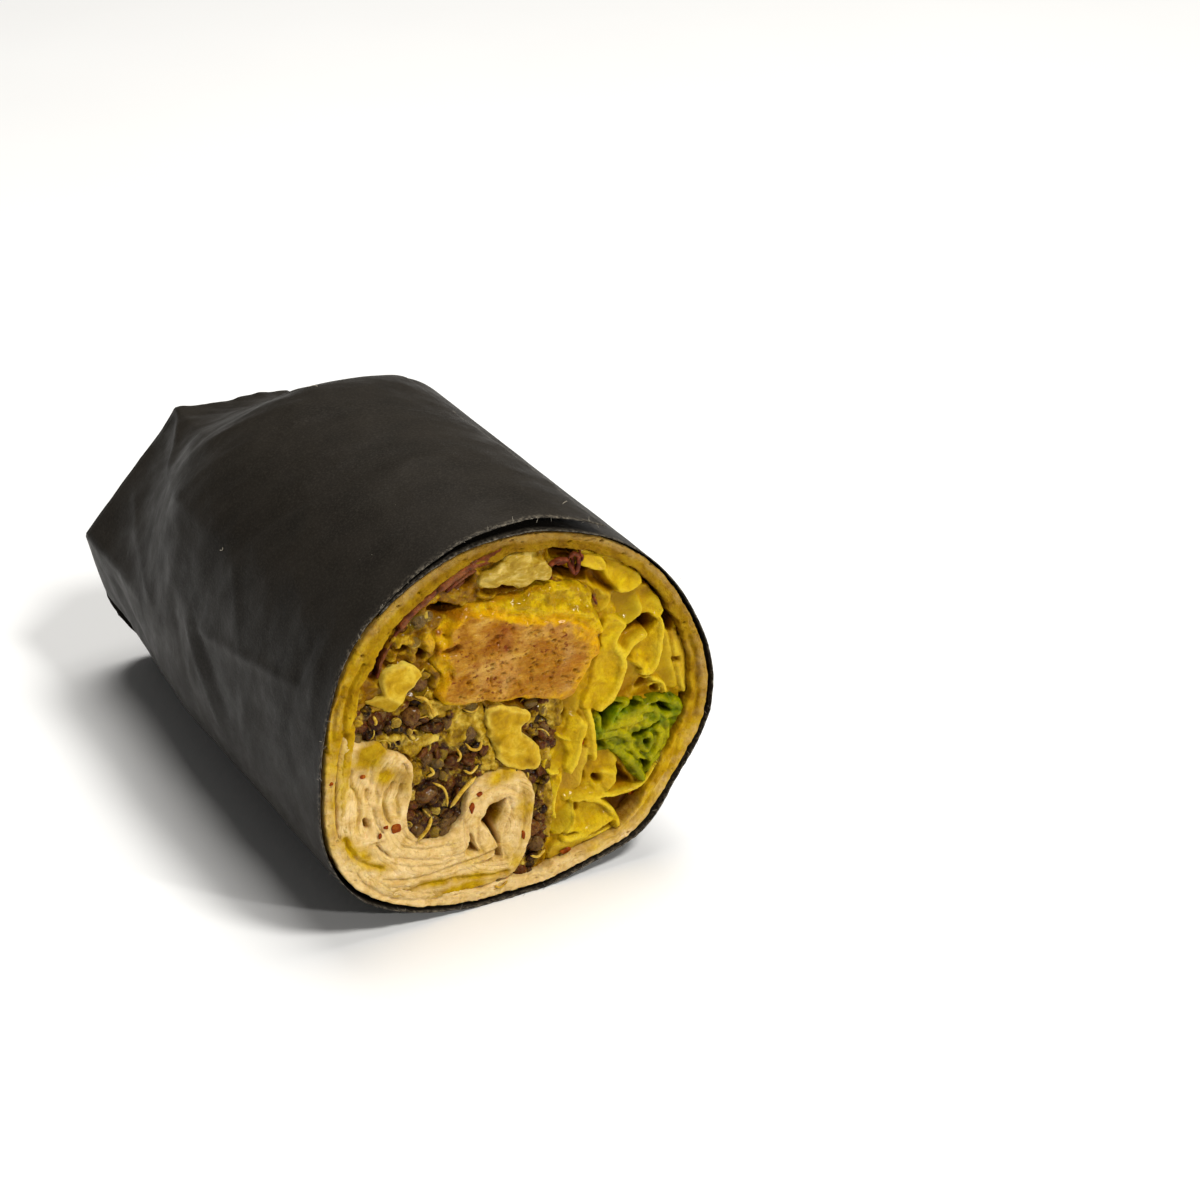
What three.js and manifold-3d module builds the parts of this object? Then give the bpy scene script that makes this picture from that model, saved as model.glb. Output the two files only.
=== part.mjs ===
// Half of a chicken curry wrap in black paper, lying on its side. The cut face looks towards -Y, the folded
// paper end is at +Y, and the origin is on the table under the middle of the object. Millimetres, +Z up.
import * as THREE from "three";
import Module from "manifold-3d";

const wasm = await Module();
wasm.setup();

// Driving dimensions, in millimetres and degrees.
const LENGTH = 98.5; // from the cut face to the folded end
const ROLL_RADIUS = 29.7; // the tortilla roll, before it sags
const REST_DEPTH = 29.5; // the roll's axis to its flattened underside
const SHEET = 2.2; // one layer of tortilla
const OVERLAP = { angle: 165, width: 48, height: 1.9 }; // what the second layer adds, on the left side
const PAPER = 0.6; // the wrapping paper, a few thin turns as one wall
const PAPER_GAP = 0.3; // paper to tortilla where it lies close
const PAPER_LIFT = { angle: 84, width: 32, height: 1.6 }; // the paper stands off over the top,
const PAPER_SETTLES = [0.2, 0.8]; // and lies close again between these shares of the length
const PAPER_CHAMFER = 1.4; // round the folded end
const GAP = 0.35; // between neighbouring pieces of food
const STRAIGHT = 0.55; // share of the length over which the section stays the same
const SHOULDER = { angle: 40, width: 28, height: 0.16 }; // the right shoulder stays full for this much more
const FOOD_END = 9; // the fillings stop this far short of the folded end
const TORTILLA_END = 3; // and the tortilla this far
const SLIT_DEPTH = 14; // how far the gaps between the tortilla's folds reach in from the cut
const SLIT = 0.4; // and how wide a closed fold line is
const SMALLEST_PIECE = 500; // mm3; a sliver of sauce under this is left out

// How the soft roll departs from a circle at the cut, each a smooth swelling at an angle from +X.
const SAG = [
  { angle: 217, width: 28, height: 4.4 }, // haunch at the lower left
  { angle: 309, width: 12, height: 2.0 }, // lower right corner
  { angle: 348, width: 27, height: 2.8 }, // right flank, under the sheet's outer edge
  { angle: 145, width: 22, height: 0.8 }, // left shoulder
  { angle: 75, width: 26, height: -0.8 }, // flattened crown
];
// The folded end is a low, many-cornered section. Corners from the roll's axis: [right, up].
const END_CORNERS = [
  [29, -7],
  [28, 11.3],
  [-12.2, 13.6],
  [-29.3, -4.6],
  [-26.4, -16.4],
  [-19.4, -29.5],
  [23, -29.5],
];

const ROUND_POINTS = 48; // points round the paper and the tortilla, some of them at the end's corners
const ROUND_STATIONS = [STRAIGHT, 0.67, 0.78, 0.88]; // shares of the length at which their narrowing is drawn
const FOOD_STATIONS = [STRAIGHT, 0.76]; // and the fillings'

function swell(theta, { angle, width, height }) {
  const away = ((THREE.MathUtils.radToDeg(theta) - angle + 540) % 360) - 180;
  return height * Math.exp(-((away / width) ** 2));
}

const polar = (radius, degrees) => {
  const theta = THREE.MathUtils.degToRad(degrees);
  return [radius * Math.cos(theta), radius * Math.sin(theta)];
};
const rollRadius = (theta) => SAG.reduce((r, bump) => r + swell(theta, bump), ROLL_RADIUS);
const wallOf = (theta) => SHEET + swell(theta, OVERLAP);

// Radius of the many-cornered end section: where a ray from the axis meets its outline.
function endRadius(theta) {
  const [dx, dy] = [Math.cos(theta), Math.sin(theta)];
  const distances = END_CORNERS.map(([ax, ay], i) => {
    const [bx, by] = END_CORNERS[(i + 1) % END_CORNERS.length];
    const across = dx * (by - ay) - dy * (bx - ax);
    const along = (ax * (by - ay) - ay * (bx - ax)) / across;
    return along > 0 ? along : Infinity;
  });
  return Math.min(...distances);
}

// The roll's radius at an angle and a distance from the cut, grown by an offset. The cut's section eases into
// the end's, and the underside is flat.
function radiusAt(theta, distance, offset = 0) {
  const share = THREE.MathUtils.smoothstep(distance / LENGTH, STRAIGHT + swell(theta, SHOULDER), 1);
  const radius = THREE.MathUtils.lerp(rollRadius(theta), endRadius(theta), share) + offset;
  const down = -Math.sin(theta);
  return down > 0 ? Math.min(radius, (REST_DEPTH + offset) / down) : radius;
}

// A point of the cut's section, carried to another distance: it keeps its share of the way out to the roll.
function place([right, up], distance) {
  const theta = Math.atan2(up, right);
  const scale = radiusAt(theta, distance) / radiusAt(theta, 0);
  return [right * scale, distance, up * scale];
}

// Triangles that fill a ring, facing the front, with its points numbered from a first one.
function cap(ring, first) {
  const section = ring.map(([x, , z]) => new THREE.Vector2(x, z));
  return THREE.ShapeUtils.triangulateShape(section, []).map((corners) => corners.map((i) => first + i));
}

// Joins equal rings of points, front to back, and closes both ends.
function loft(rings) {
  const count = rings[0].length;
  const last = (rings.length - 1) * count;
  const triangles = [...cap(rings[0], 0), ...cap(rings.at(-1), last).map(([a, b, c]) => [a, c, b])];
  for (let start = 0; start < last; start += count)
    for (let i = 0; i < count; i++) {
      const [a, b] = [start + i, start + ((i + 1) % count)];
      triangles.push([a, a + count, b + count], [a, b + count, b]);
    }
  const vertProperties = new Float32Array(rings.flat(2));
  const triVerts = new Uint32Array(triangles.flat());
  return new wasm.Manifold(new wasm.Mesh({ numProp: 3, vertProperties, triVerts }));
}

const stations = (shares, from, to) => [from, ...shares.map((share) => Math.min(share * LENGTH, to)), to];

const anglesRound = Array.from({ length: ROUND_POINTS }, (_, i) => ((2 * i) / ROUND_POINTS - 1) * Math.PI);
END_CORNERS.forEach(([right, up]) => {
  const theta = Math.atan2(up, right);
  anglesRound[Math.round((theta / Math.PI + 1) * (ROUND_POINTS / 2))] = theta;
});

// A round solid whose radius is given by angle and distance, with a chamfered back end.
function roundSolid(radius, from, to, chamfer) {
  const ring = (distance, inset) =>
    anglesRound.map((theta) => {
      const r = radius(theta, distance) - inset;
      return [r * Math.cos(theta), distance, r * Math.sin(theta)];
    });
  const rings = stations(ROUND_STATIONS, from, to - chamfer).map((d) => ring(d, 0));
  return loft([...rings, ring(to, chamfer)]);
}

// The roll less an inset, which may depend on the angle.
const roll = (inset, from, to) =>
  roundSolid((theta, d) => radiusAt(theta, d) - inset(theta), from, to, PAPER_CHAMFER);

// Three kinds of outline at the cut, from the roll's axis: [right, up]. Each is grown by a margin.

// A squarish lump, as [right, up] of its middle, its two widths and its tilt.
const lump = (at, width, height, tilt, points = 18) => (margin) =>
  Array.from({ length: points }, (_, i) => {
    const [c, s] = polar(1, (360 * i) / points);
    const reach = (Math.abs(c) ** 3 + Math.abs(s) ** 3) ** (-1 / 3);
    const p = new THREE.Vector2(c * reach * (width / 2 + margin), s * reach * (height / 2 + margin));
    p.rotateAround(new THREE.Vector2(), THREE.MathUtils.degToRad(tilt));
    return [at[0] + p.x, at[1] + p.y];
  });

const smooth = (corners, closed, count) =>
  new THREE.CatmullRomCurve3(
    corners.map(([x, y]) => new THREE.Vector3(x, y, 0)),
    closed,
    "centripetal",
  ).getSpacedPoints(count);

// A strip of one thickness along a smooth path.
const strip = (path, thickness, points = 12) => (margin) => {
  const middle = smooth(path, false, points);
  const side = (sign) =>
    middle.map((p, i) => {
      const before = middle[Math.max(i - 1, 0)];
      const after = middle[Math.min(i + 1, points)];
      const ahead = after.clone().sub(before).normalize();
      const beyond = i === 0 ? -margin : i === points ? margin : 0;
      const out = sign * (thickness / 2 + margin);
      return [p.x + ahead.x * beyond + ahead.y * out, p.y + ahead.y * beyond - ahead.x * out];
    });
  return [...side(1), ...side(-1).reverse()];
};

// A smooth region through corners given counter-clockwise.
const region = (corners, points = 26) => (margin) => {
  const round = smooth(corners, true, points).slice(0, points);
  return round.map((p, i) => {
    const before = round[(i + points - 1) % points];
    const after = round[(i + 1) % points];
    const ahead = after.clone().sub(before).normalize();
    return [p.x + ahead.y * margin, p.y - ahead.x * margin];
  });
};

// An outline carried along the roll, from one distance from the cut to another.
const run = (outline, margin = 0, from = 0, to = LENGTH - FOOD_END) => {
  const section = outline(margin);
  return loft(stations(FOOD_STATIONS, from, to).map((d) => section.map((point) => place(point, d))));
};

const FOLDS = region(
  [
    [-27.4, 3.6], [-32, 3], [-34, -14], [-20, -34], [-3, -33], [1, -25.5], [3.2, -19.5], [3.2, -13.5],
    [0.4, -9.6], [-4.6, -9.8], [-9.4, -15.2], [-14, -14.8], [-17.6, -10], [-16.8, -2.4], [-21.2, 1.2],
  ],
  40,
);
// Where the sheet's two layers lie on each other, down the left side.
const LAYER_LINE = [120, 150, 180, 210, 240].map((angle) => {
  const theta = THREE.MathUtils.degToRad(angle);
  return polar(rollRadius(theta) - SHEET, angle);
});
const OUTER_FOLD = [[-26.2, -1], [-27, -11], [-22, -21], [-12, -24.6], [-2.8, -24], [1, -19], [0.6, -13.4]];
const INNER_FOLD = [[-21.4, -3], [-22.6, -10], [-18.4, -16.6], [-10.4, -19.6]];
const FOLD_GAPS = [
  strip(LAYER_LINE, SLIT, 16),
  strip(OUTER_FOLD, SLIT, 20),
  strip(INNER_FOLD, SLIT),
  lump([-4.4, -17.4], 2, 8, 12),
  lump([-7.6, -20.4], 1.3, 3.4, -8),
];

// The fillings, in the order in which they keep their shape: each gives way to those before it.
const FILLINGS = {
  chicken: region([
    [14.6, 11], [12, 16.8], [7, 19], [-1, 19], [-9, 18], [-12.2, 14.5], [-12.6, 8.5], [-11, 4.6],
    [-2.5, 2.9], [8.8, 0.9], [13.2, 4.2],
  ]),
  fruit_dice: lump([-18.6, 9.4], 7.4, 5, 26),
  fruit_chunk: lump([-0.5, -4], 7.4, 10.8, 10),
  cabbage_rib: lump([0.7, 23.9], 11.2, 5.8, 2),
  red_leaf: strip([[-21.6, 11.6], [-18.6, 16.6], [-13.8, 20.9], [-8, 24.3], [-5, 25.4]], 1.5),
  red_curl: lump([9.5, 22.9], 5, 3.8, -10),
  green_leaf: region([
    [27.4, -4.6], [21, -2.2], [14, -3.2], [13, -6.8], [17.4, -12], [21.4, -16.6], [25.6, -12.2],
  ]),
  quinoa_main: region([
    [-3.6, -9.6], [-5.4, 0.9], [-14.4, 4.4], [-22.6, 6], [-26.6, 4], [-21, -1], [-20, -9], [-14, -17],
    [-8, -13.4],
  ]),
  quinoa_seam: strip([[5.6, 0.6], [6.4, -6], [5.6, -13], [5, -20], [0.6, -25.6], [-4.4, -27.4]], 2.8),
  lettuce_shreds: region(
    [
      [7.5, 22], [9, 18.8], [15.6, 13.6], [15.2, 4], [9, 0], [8.6, -10], [7.6, -30], [28, -24], [36, 0],
      [26, 21], [12, 28],
    ],
    30,
  ),
};

function paper() {
  const lift = (theta, d) =>
    PAPER_GAP + swell(theta, PAPER_LIFT) * (1 - THREE.MathUtils.smoothstep(d / LENGTH, ...PAPER_SETTLES));
  const wall = (out) => (theta, d) => radiusAt(theta, d, lift(theta, d) + out);
  const inside = roundSolid(wall(0), -1, LENGTH - PAPER, PAPER_CHAMFER);
  return roundSolid(wall(PAPER), 0, LENGTH, PAPER_CHAMFER).subtract(inside);
}

// The rolled sheet: its ring, closed at the far end, with the folded-in edge lying in the lower left.
function tortilla() {
  const whole = roll(() => 0, 0, LENGTH - TORTILLA_END);
  const hollow = roll(wallOf, -1, LENGTH - FOOD_END);
  const folds = run(FOLDS).intersect(whole);
  const rolled = whole.subtract(hollow).add(folds);
  return FOLD_GAPS.reduce((rest, gap) => rest.subtract(run(gap, 0, -1, SLIT_DEPTH)), rolled);
}

const biggestFirst = (made) => made.decompose().sort((a, b) => b.volume() - a.volume());

// Each filling keeps clear of the tortilla and of the fillings before it, and the sauce is what is left.
function fillings() {
  let room = roll((theta) => wallOf(theta) + GAP, 0, LENGTH - FOOD_END - GAP).subtract(run(FOLDS, GAP, -1));
  const made = {};
  for (const [name, outline] of Object.entries(FILLINGS)) {
    made[name] = biggestFirst(run(outline).intersect(room))[0];
    room = room.subtract(run(outline, GAP, -1));
  }
  const sauce = biggestFirst(room).filter((piece) => piece.volume() > SMALLEST_PIECE);
  sauce.forEach((piece, i) => (made[`curry_sauce_${i + 1}`] = piece));
  return made;
}

const LOOKS = {
  paper: { color: 0x24221f, roughness: 0.6 },
  tortilla: { color: 0xd9c48f, roughness: 0.8 },
  chicken: { color: 0xc98e4e, roughness: 0.6 },
  fruit: { color: 0xd8c860, roughness: 0.4 },
  cabbage: { color: 0xd6cf7a, roughness: 0.4 },
  red: { color: 0x4a1418, roughness: 0.5 },
  green: { color: 0x86a81e, roughness: 0.4 },
  quinoa: { color: 0x4a3324, roughness: 0.5 },
  lettuce: { color: 0xcabb3e, roughness: 0.4 },
  curry: { color: 0xb89a24, roughness: 0.35 },
};

function mesh(name, made) {
  const { vertProperties, triVerts } = made.getMesh();
  const geometry = new THREE.BufferGeometry();
  geometry.setAttribute("position", new THREE.BufferAttribute(vertProperties, 3));
  geometry.setIndex(new THREE.BufferAttribute(triVerts, 1));
  const faceted = geometry.toNonIndexed();
  faceted.computeVertexNormals();
  const piece = new THREE.Mesh(faceted, new THREE.MeshStandardMaterial(LOOKS[name.split("_")[0]]));
  piece.name = name;
  return piece;
}

const wrap = new THREE.Group();
const pieces = { paper_wrap: paper(), tortilla: tortilla(), ...fillings() };
wrap.add(...Object.entries(pieces).map(([name, made]) => mesh(name, made)));

// The origin goes on the table, under the middle of the object.
const box = new THREE.Box3().setFromObject(wrap);
const middle = box.getCenter(new THREE.Vector3());
wrap.position.set(-middle.x, -middle.y, -box.min.z);

export default wrap;
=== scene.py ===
import math

import bmesh
import bpy
import numpy as np
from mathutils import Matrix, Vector


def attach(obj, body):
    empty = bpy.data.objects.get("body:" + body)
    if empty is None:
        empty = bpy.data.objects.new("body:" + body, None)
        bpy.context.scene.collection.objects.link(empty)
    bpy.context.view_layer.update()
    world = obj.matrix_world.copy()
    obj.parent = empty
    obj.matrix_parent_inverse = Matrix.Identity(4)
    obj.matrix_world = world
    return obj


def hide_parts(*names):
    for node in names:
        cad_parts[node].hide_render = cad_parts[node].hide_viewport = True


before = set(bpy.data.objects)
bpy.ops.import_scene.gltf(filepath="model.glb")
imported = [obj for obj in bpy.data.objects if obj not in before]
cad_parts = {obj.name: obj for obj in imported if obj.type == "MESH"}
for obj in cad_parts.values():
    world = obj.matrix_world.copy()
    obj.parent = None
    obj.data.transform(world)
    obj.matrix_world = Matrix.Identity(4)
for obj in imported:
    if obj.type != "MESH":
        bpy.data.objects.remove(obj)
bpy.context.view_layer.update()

MM = 0.001

# The roll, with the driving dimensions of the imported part, in millimetres and degrees. A swelling is its
# angle from the right, its width and its height.
LENGTH = 98.5
ROLL_RADIUS = 29.7
REST_DEPTH = 29.5
SHEET = 2.2
PAPER = 0.6
PAPER_GAP = 0.3
STRAIGHT = 0.55
FOOD_END = 9
TORTILLA_END = 3
SHOULDER = (40, 28, 0.16)
OVERLAP = (165, 48, 1.9)
PAPER_LIFT = (84, 32, 1.6)
SAG = [(217, 28, 4.4), (309, 12, 2), (348, 27, 2.8), (145, 22, 0.8), (75, 26, -0.8)]
END_CORNERS = [
    (29, -7), (28, 11.3), (-12.2, 13.6), (-29.3, -4.6), (-26.4, -16.4), (-19.4, -29.5), (23, -29.5),
]
INNER_SWELLS = [OVERLAP, (338, 22, 1.4), (92, 30, 0.5)]  # where the tortilla's wall is thicker at the cut

AXIS = np.array([0.5, 32.7])  # the roll's axis on the drawing of the cut
DRAWING = np.array([-1.092, -2.3])  # the drawing's own corner, right and up in the row frame
FILLING_BACK = LENGTH - FOOD_END - 0.5
WALL_STATIONS = (9, STRAIGHT * LENGTH, 0.76 * LENGTH)  # where a filling's walls have points
HOLLOW_GAP = 0.1  # between the fillings and the tortilla
FLOOR_GAP = 0.02  # under the paper's crumpled underside
RAGGED = 0.3  # how far a filling's outline wavers

# ---- shape of the roll


def smoothstep(value, low, high):
    share = np.clip((value - low) / (high - low), 0, 1)
    return share * share * (3 - 2 * share)


def blend(first, second, share):
    return first * (1 - share) + second * share


def swell(angle, bump):
    middle, width, height = bump
    away = (angle - middle + 540) % 360 - 180
    return height * np.exp(-((away / width) ** 2))


def swollen(base, angle, bumps):
    for bump in bumps:
        base = base + swell(angle, bump)
    return base


def end_radius(angle):
    """The many-cornered far end: where a ray from the axis meets its outline."""
    theta = np.radians(angle)
    across, up = np.cos(theta), np.sin(theta)
    nearest = np.full(np.shape(angle), np.inf)
    for (ax, ay), (bx, by) in zip(END_CORNERS, END_CORNERS[1:] + END_CORNERS[:1]):
        along = (ax * (by - ay) - ay * (bx - ax)) / (across * (by - ay) - up * (bx - ax) + 1e-12)
        nearest = np.where((along > 0) & (along < nearest), along, nearest)
    return nearest


def radius_at(angle, back, offset=0.0):
    """Radius of the tortilla roll, or of what lies an offset outside it."""
    share = smoothstep(back / LENGTH, STRAIGHT + swell(angle, SHOULDER), 1)
    radius = blend(swollen(ROLL_RADIUS, angle, SAG), end_radius(angle), share) + offset
    down = np.maximum(-np.sin(np.radians(angle)), 1e-6)
    return np.minimum(radius, (REST_DEPTH + offset) / down)


def inner_wall(angle):
    """Thickness of the tortilla at the cut: two layers at the left, a broad one at the lower right."""
    return swollen(SHEET, angle, INNER_SWELLS)


def polar(points):
    """Angle in degrees and radius of points (right, up, ...) about the roll's axis."""
    u, v = points[:, 0] - AXIS[0], points[:, 1] - AXIS[1]
    return np.degrees(np.arctan2(v, u)), np.hypot(u, v)


def from_polar(angle, radius, back):
    theta = np.radians(angle)
    right, up = AXIS[0] + radius * np.cos(theta), AXIS[1] + radius * np.sin(theta)
    return np.stack([right, up, back + 0 * theta], -1)


def in_hollow(outline):
    """An outline kept inside the tortilla."""
    angle, radius = polar(outline)
    limit = radius_at(angle, 0 * angle) - inner_wall(angle) - HOLLOW_GAP
    return from_polar(angle, np.minimum(radius, limit), 0.0)[:, :2]


def narrowing(angle, back):
    """How much narrower the roll is there than at the cut."""
    return radius_at(angle, np.clip(back, 0, LENGTH)) / radius_at(angle, 0 * angle)


def carried(points):
    """Drawn points (right, up, back), narrowed as the roll narrows, in metres in the row frame."""
    scale = narrowing(polar(points)[0], points[:, 2])
    across = DRAWING + AXIS + (points[:, :2] - AXIS) * scale[:, None]
    return np.stack([across[:, 0], points[:, 2] - LENGTH / 2, across[:, 1]], 1) * MM


def placed(points):
    """Drawn points in the row frame as they are, for what already follows the narrowing roll."""
    up = np.maximum(DRAWING[1] + points[:, 1], FLOOR_GAP)
    return np.stack([DRAWING[0] + points[:, 0], points[:, 2] - LENGTH / 2, up], 1) * MM


# ---- noise and curves


def flat3(points, back=0.0):
    """Points (right, up) with one distance back."""
    return np.column_stack([points[:, :2], np.full(len(points), back)])


def noise(points, size, seed=0):
    """Smooth noise, about -1 to 1, with bumps that many millimetres apart. A size may differ by axis."""
    points = np.asarray(points, float)
    spot = (flat3(points) if points.shape[1] == 2 else points) / size
    cell = np.floor(spot).astype(np.int64)
    inside = spot - cell
    fade = inside**3 * (inside * (inside * 6 - 15) + 10)
    total = np.zeros(len(spot))
    for corner in np.ndindex(2, 2, 2):
        c = cell + corner
        mixed = c[:, 0] * 73856093 ^ c[:, 1] * 19349663 ^ c[:, 2] * 83492791 ^ (seed + 7) * 2654435761
        mixed = ((mixed ^ (mixed >> 13)) * 1274126177) & 0x7FFFFFFF
        mixed = ((mixed ^ (mixed >> 16)) * 668265263) & 0x3FFFFFFF
        slope = np.stack([(mixed >> shift & 1023) / 511.5 - 1 for shift in (0, 10, 20)], 1)
        weight = np.prod(np.where(corner, fade, 1 - fade), 1)
        total += weight * ((inside - corner) * slope).sum(1)
    return total * 1.5


def ripples(points, *waves):
    """A sum of noises, each (height, distance between bumps, seed)."""
    return sum(height * noise(points, size, seed) for height, size, seed in waves)


def layered(points, size, seed):
    """Noise with two finer layers on it."""
    size = np.asarray(size, float)
    return ripples(points, *((1 / 2**i, size / 2**i, seed + 11 * i) for i in range(3)))


def wobble(points, size, seed, apart=30):
    """Noise for each of the two directions on the cut."""
    return np.stack([noise(flat3(points, back), size, seed) for back in (0, apart)], 1)


def curve(corners, count, closed=False):
    """Evenly spaced points on a smooth curve through corners. Further columns are carried along."""
    corners = np.asarray(corners, float)
    if closed:
        p = np.vstack([corners[-1:], corners, corners[:2]])
    else:
        p = np.vstack([2 * corners[0] - corners[1], corners, 2 * corners[-1] - corners[-2]])
    t = np.linspace(0, 1, 12, endpoint=False)[:, None]
    spans = [
        b + 0.5 * t * (c - a + t * (2 * a - 5 * b + 4 * c - e + t * (3 * (b - c) + e - a)))
        for a, b, c, e in zip(p, p[1:], p[2:], p[3:])
    ]
    dense = np.vstack([*spans, p[-2:-1]])
    steps = np.linalg.norm(np.diff(dense[:, :2], axis=0), axis=1)
    length = np.concatenate([[0], np.cumsum(steps)])
    at = np.linspace(0, length[-1], count + 1 if closed else count)[:count]
    return np.stack([np.interp(at, length, column) for column in dense.T], 1)


def to_outline(points, outline):
    """Distance of points (right, up) to a closed outline, the nearest points on it, and which are inside."""
    start, end = outline[None], np.roll(outline, -1, 0)[None]
    p = points[:, None]
    side = end - start
    share = np.clip(((p - start) * side).sum(-1) / (side**2).sum(-1), 0, 1)
    foot = start + side * share[..., None]
    distance = np.linalg.norm(p - foot, axis=-1)
    best = distance.argmin(1)
    rows = np.arange(len(points))
    crosses = (start[..., 1] > p[..., 1]) != (end[..., 1] > p[..., 1])
    rise = np.where(np.abs(side[..., 1]) < 1e-9, 1e-9, side[..., 1])
    meets = start[..., 0] + side[..., 0] * (p[..., 1] - start[..., 1]) / rise
    inside = (crosses & (p[..., 0] < meets)).sum(1) % 2 == 1
    return distance[rows, best], foot[rows, best], inside


def to_segments(points, start, end):
    """Distance of points (right, up) to the nearest of some segments."""
    side = end - start
    share = ((points[:, None] - start) * side).sum(-1) / ((side**2).sum(-1) + 1e-12)
    foot = start + side * np.clip(share, 0, 1)[..., None]
    return np.linalg.norm(points[:, None] - foot, axis=-1).min(1)


def close_to(points, path, reach):
    return ((points > path.min(0) - reach) & (points < path.max(0) + reach)).all(1)


def near_path(points, corners, reach=6.0):
    """Distance to a smooth path through corners, and far off where it is further than a reach."""
    path = curve(corners, 5 * len(corners))[:, :2]
    distance = np.full(len(points), 99.0)
    near = close_to(points, path, reach)
    if near.any():
        distance[near] = to_segments(points[near], path[:-1], path[1:])
    return distance


def depth_inside(points, corners, reach=1.0):
    """Distance to the edge of a closed shape, from points inside it, and less than 0 outside."""
    outline = curve(corners, 5 * len(corners), closed=True)
    distance = np.full(len(points), -99.0)
    near = close_to(points, outline, reach)
    if near.any():
        away, _, inside = to_outline(points[near], outline)
        distance[near] = np.where(inside, away, -away)
    return distance


# ---- meshes


class Shape:
    """Points (right, up, back) in millimetres, faces, and named values on the points."""

    def __init__(self, points, faces, **values):
        self.points = np.asarray(points, float)
        self.faces = [tuple(map(int, face)) for face in faces]
        self.values = {name: np.broadcast_to(value, len(self.points)) for name, value in values.items()}

    @staticmethod
    def joined(shapes):
        names = sorted({name for shape in shapes for name in shape.values})
        faces, first = [], 0
        for shape in shapes:
            faces += [tuple(first + i for i in face) for face in shape.faces]
            first += len(shape.points)
        values = {
            name: np.concatenate([shape.values.get(name, np.zeros(len(shape.points))) for shape in shapes])
            for name in names
        }
        return Shape(np.vstack([shape.points for shape in shapes]), faces, **values)


def grid_faces(rows, columns, wrap=False):
    """Quads over a grid of points stored row by row."""
    r, c = np.meshgrid(np.arange(rows - 1), np.arange(columns if wrap else columns - 1), indexing="ij")
    here, beside = (r * columns + c).ravel(), (r * columns + (c + 1) % columns).ravel()
    return np.stack([here, beside, beside + columns, here + columns], 1)


def ball_faces(rows, around):
    """Faces of a closed ball or disc: rows of points round it, then its two poles."""
    last = rows * around
    pairs = [(i, (i + 1) % around) for i in range(around)]
    first_cap = [(last, b, a) for a, b in pairs]
    last_cap = [(last + 1, last - around + a, last - around + b) for a, b in pairs]
    return [*grid_faces(rows, around, wrap=True), *first_cap, *last_cap]


def capped(rings, **values):
    """A closed shape of rings of points, with a flat cap at both ends."""
    count, around = rings.shape[:2]
    total = count * around
    ends = [tuple(range(around)), tuple(range(total - around, total))[::-1]]
    return Shape(rings.reshape(total, 3), [*grid_faces(count, around, wrap=True), *ends], **values)


def two_sided(outer, inner, **values):
    """A thin sheet: two grids of points, and narrow faces between them round their edges."""
    rows, columns = outer.shape[:2]
    total = rows * columns
    side = grid_faces(rows, columns)
    index = np.arange(total).reshape(rows, columns)
    borders = [index[0], index[-1, ::-1], index[::-1, 0], index[:, -1]]
    rims = [np.stack([b[:-1], b[1:], b[1:] + total, b[:-1] + total], 1) for b in borders]
    points = np.concatenate([outer.reshape(total, 3), inner.reshape(total, 3)])
    return Shape(points, np.concatenate([side, side[:, ::-1] + total, *rims]), **values)


def add_piece(name, shape, look, stands_for=(), to_row=carried):
    mesh = bpy.data.meshes.new(name)
    mesh.from_pydata(to_row(shape.points).tolist(), [], shape.faces)
    for value_name, values in shape.values.items():
        layer = mesh.attributes.new(value_name, "FLOAT", "POINT")
        layer.data.foreach_set("value", np.ascontiguousarray(values, dtype=np.float32))
    piece = bpy.data.objects.new(name, mesh)
    bpy.context.scene.collection.objects.link(piece)
    shell = bmesh.new()
    shell.from_mesh(mesh)
    bmesh.ops.recalc_face_normals(shell, faces=shell.faces)
    shell.to_mesh(mesh)
    shell.free()
    mesh.polygons.foreach_set("use_smooth", np.full(len(mesh.polygons), True))
    mesh.materials.append(look)
    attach(piece, "root")
    if stands_for:
        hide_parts(*stands_for)


def rim_loops(rim):
    """Chains of the edges (from, to) round a surface's border."""
    following = dict(rim)
    loops = []
    while following:
        start, here = following.popitem()
        loop = [start]
        while here != start:
            loop.append(here)
            here = following.pop(here)
        loops.append(loop)
    return loops


def cells_inside(outline, cell):
    """The points and quads of a square grid inside an outline. No two quads meet at a corner alone."""
    low, high = outline.min(0) - cell, outline.max(0) + cell
    columns, rows = np.ceil((high - low) / cell).astype(int) + 1
    xs, zs = low[0] + cell * np.arange(columns), low[1] + cell * np.arange(rows)
    grid = np.stack(np.meshgrid(xs, zs), -1).reshape(-1, 2)
    middles = np.stack(np.meshgrid(xs[:-1] + cell / 2, zs[:-1] + cell / 2), -1).reshape(-1, 2)
    kept = to_outline(middles, outline)[2].reshape(rows - 1, columns - 1)
    for _ in range(3):
        touching = kept[:-1, :-1] & kept[1:, 1:] & ~kept[:-1, 1:] & ~kept[1:, :-1]
        kept[1:, :-1] |= touching
        touching = kept[:-1, 1:] & kept[1:, :-1] & ~kept[:-1, :-1] & ~kept[1:, 1:]
        kept[:-1, :-1] |= touching
    used, flat = np.unique(grid_faces(rows, columns)[kept.ravel()], return_inverse=True)
    return grid[used], flat.reshape(-1, 4)


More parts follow.
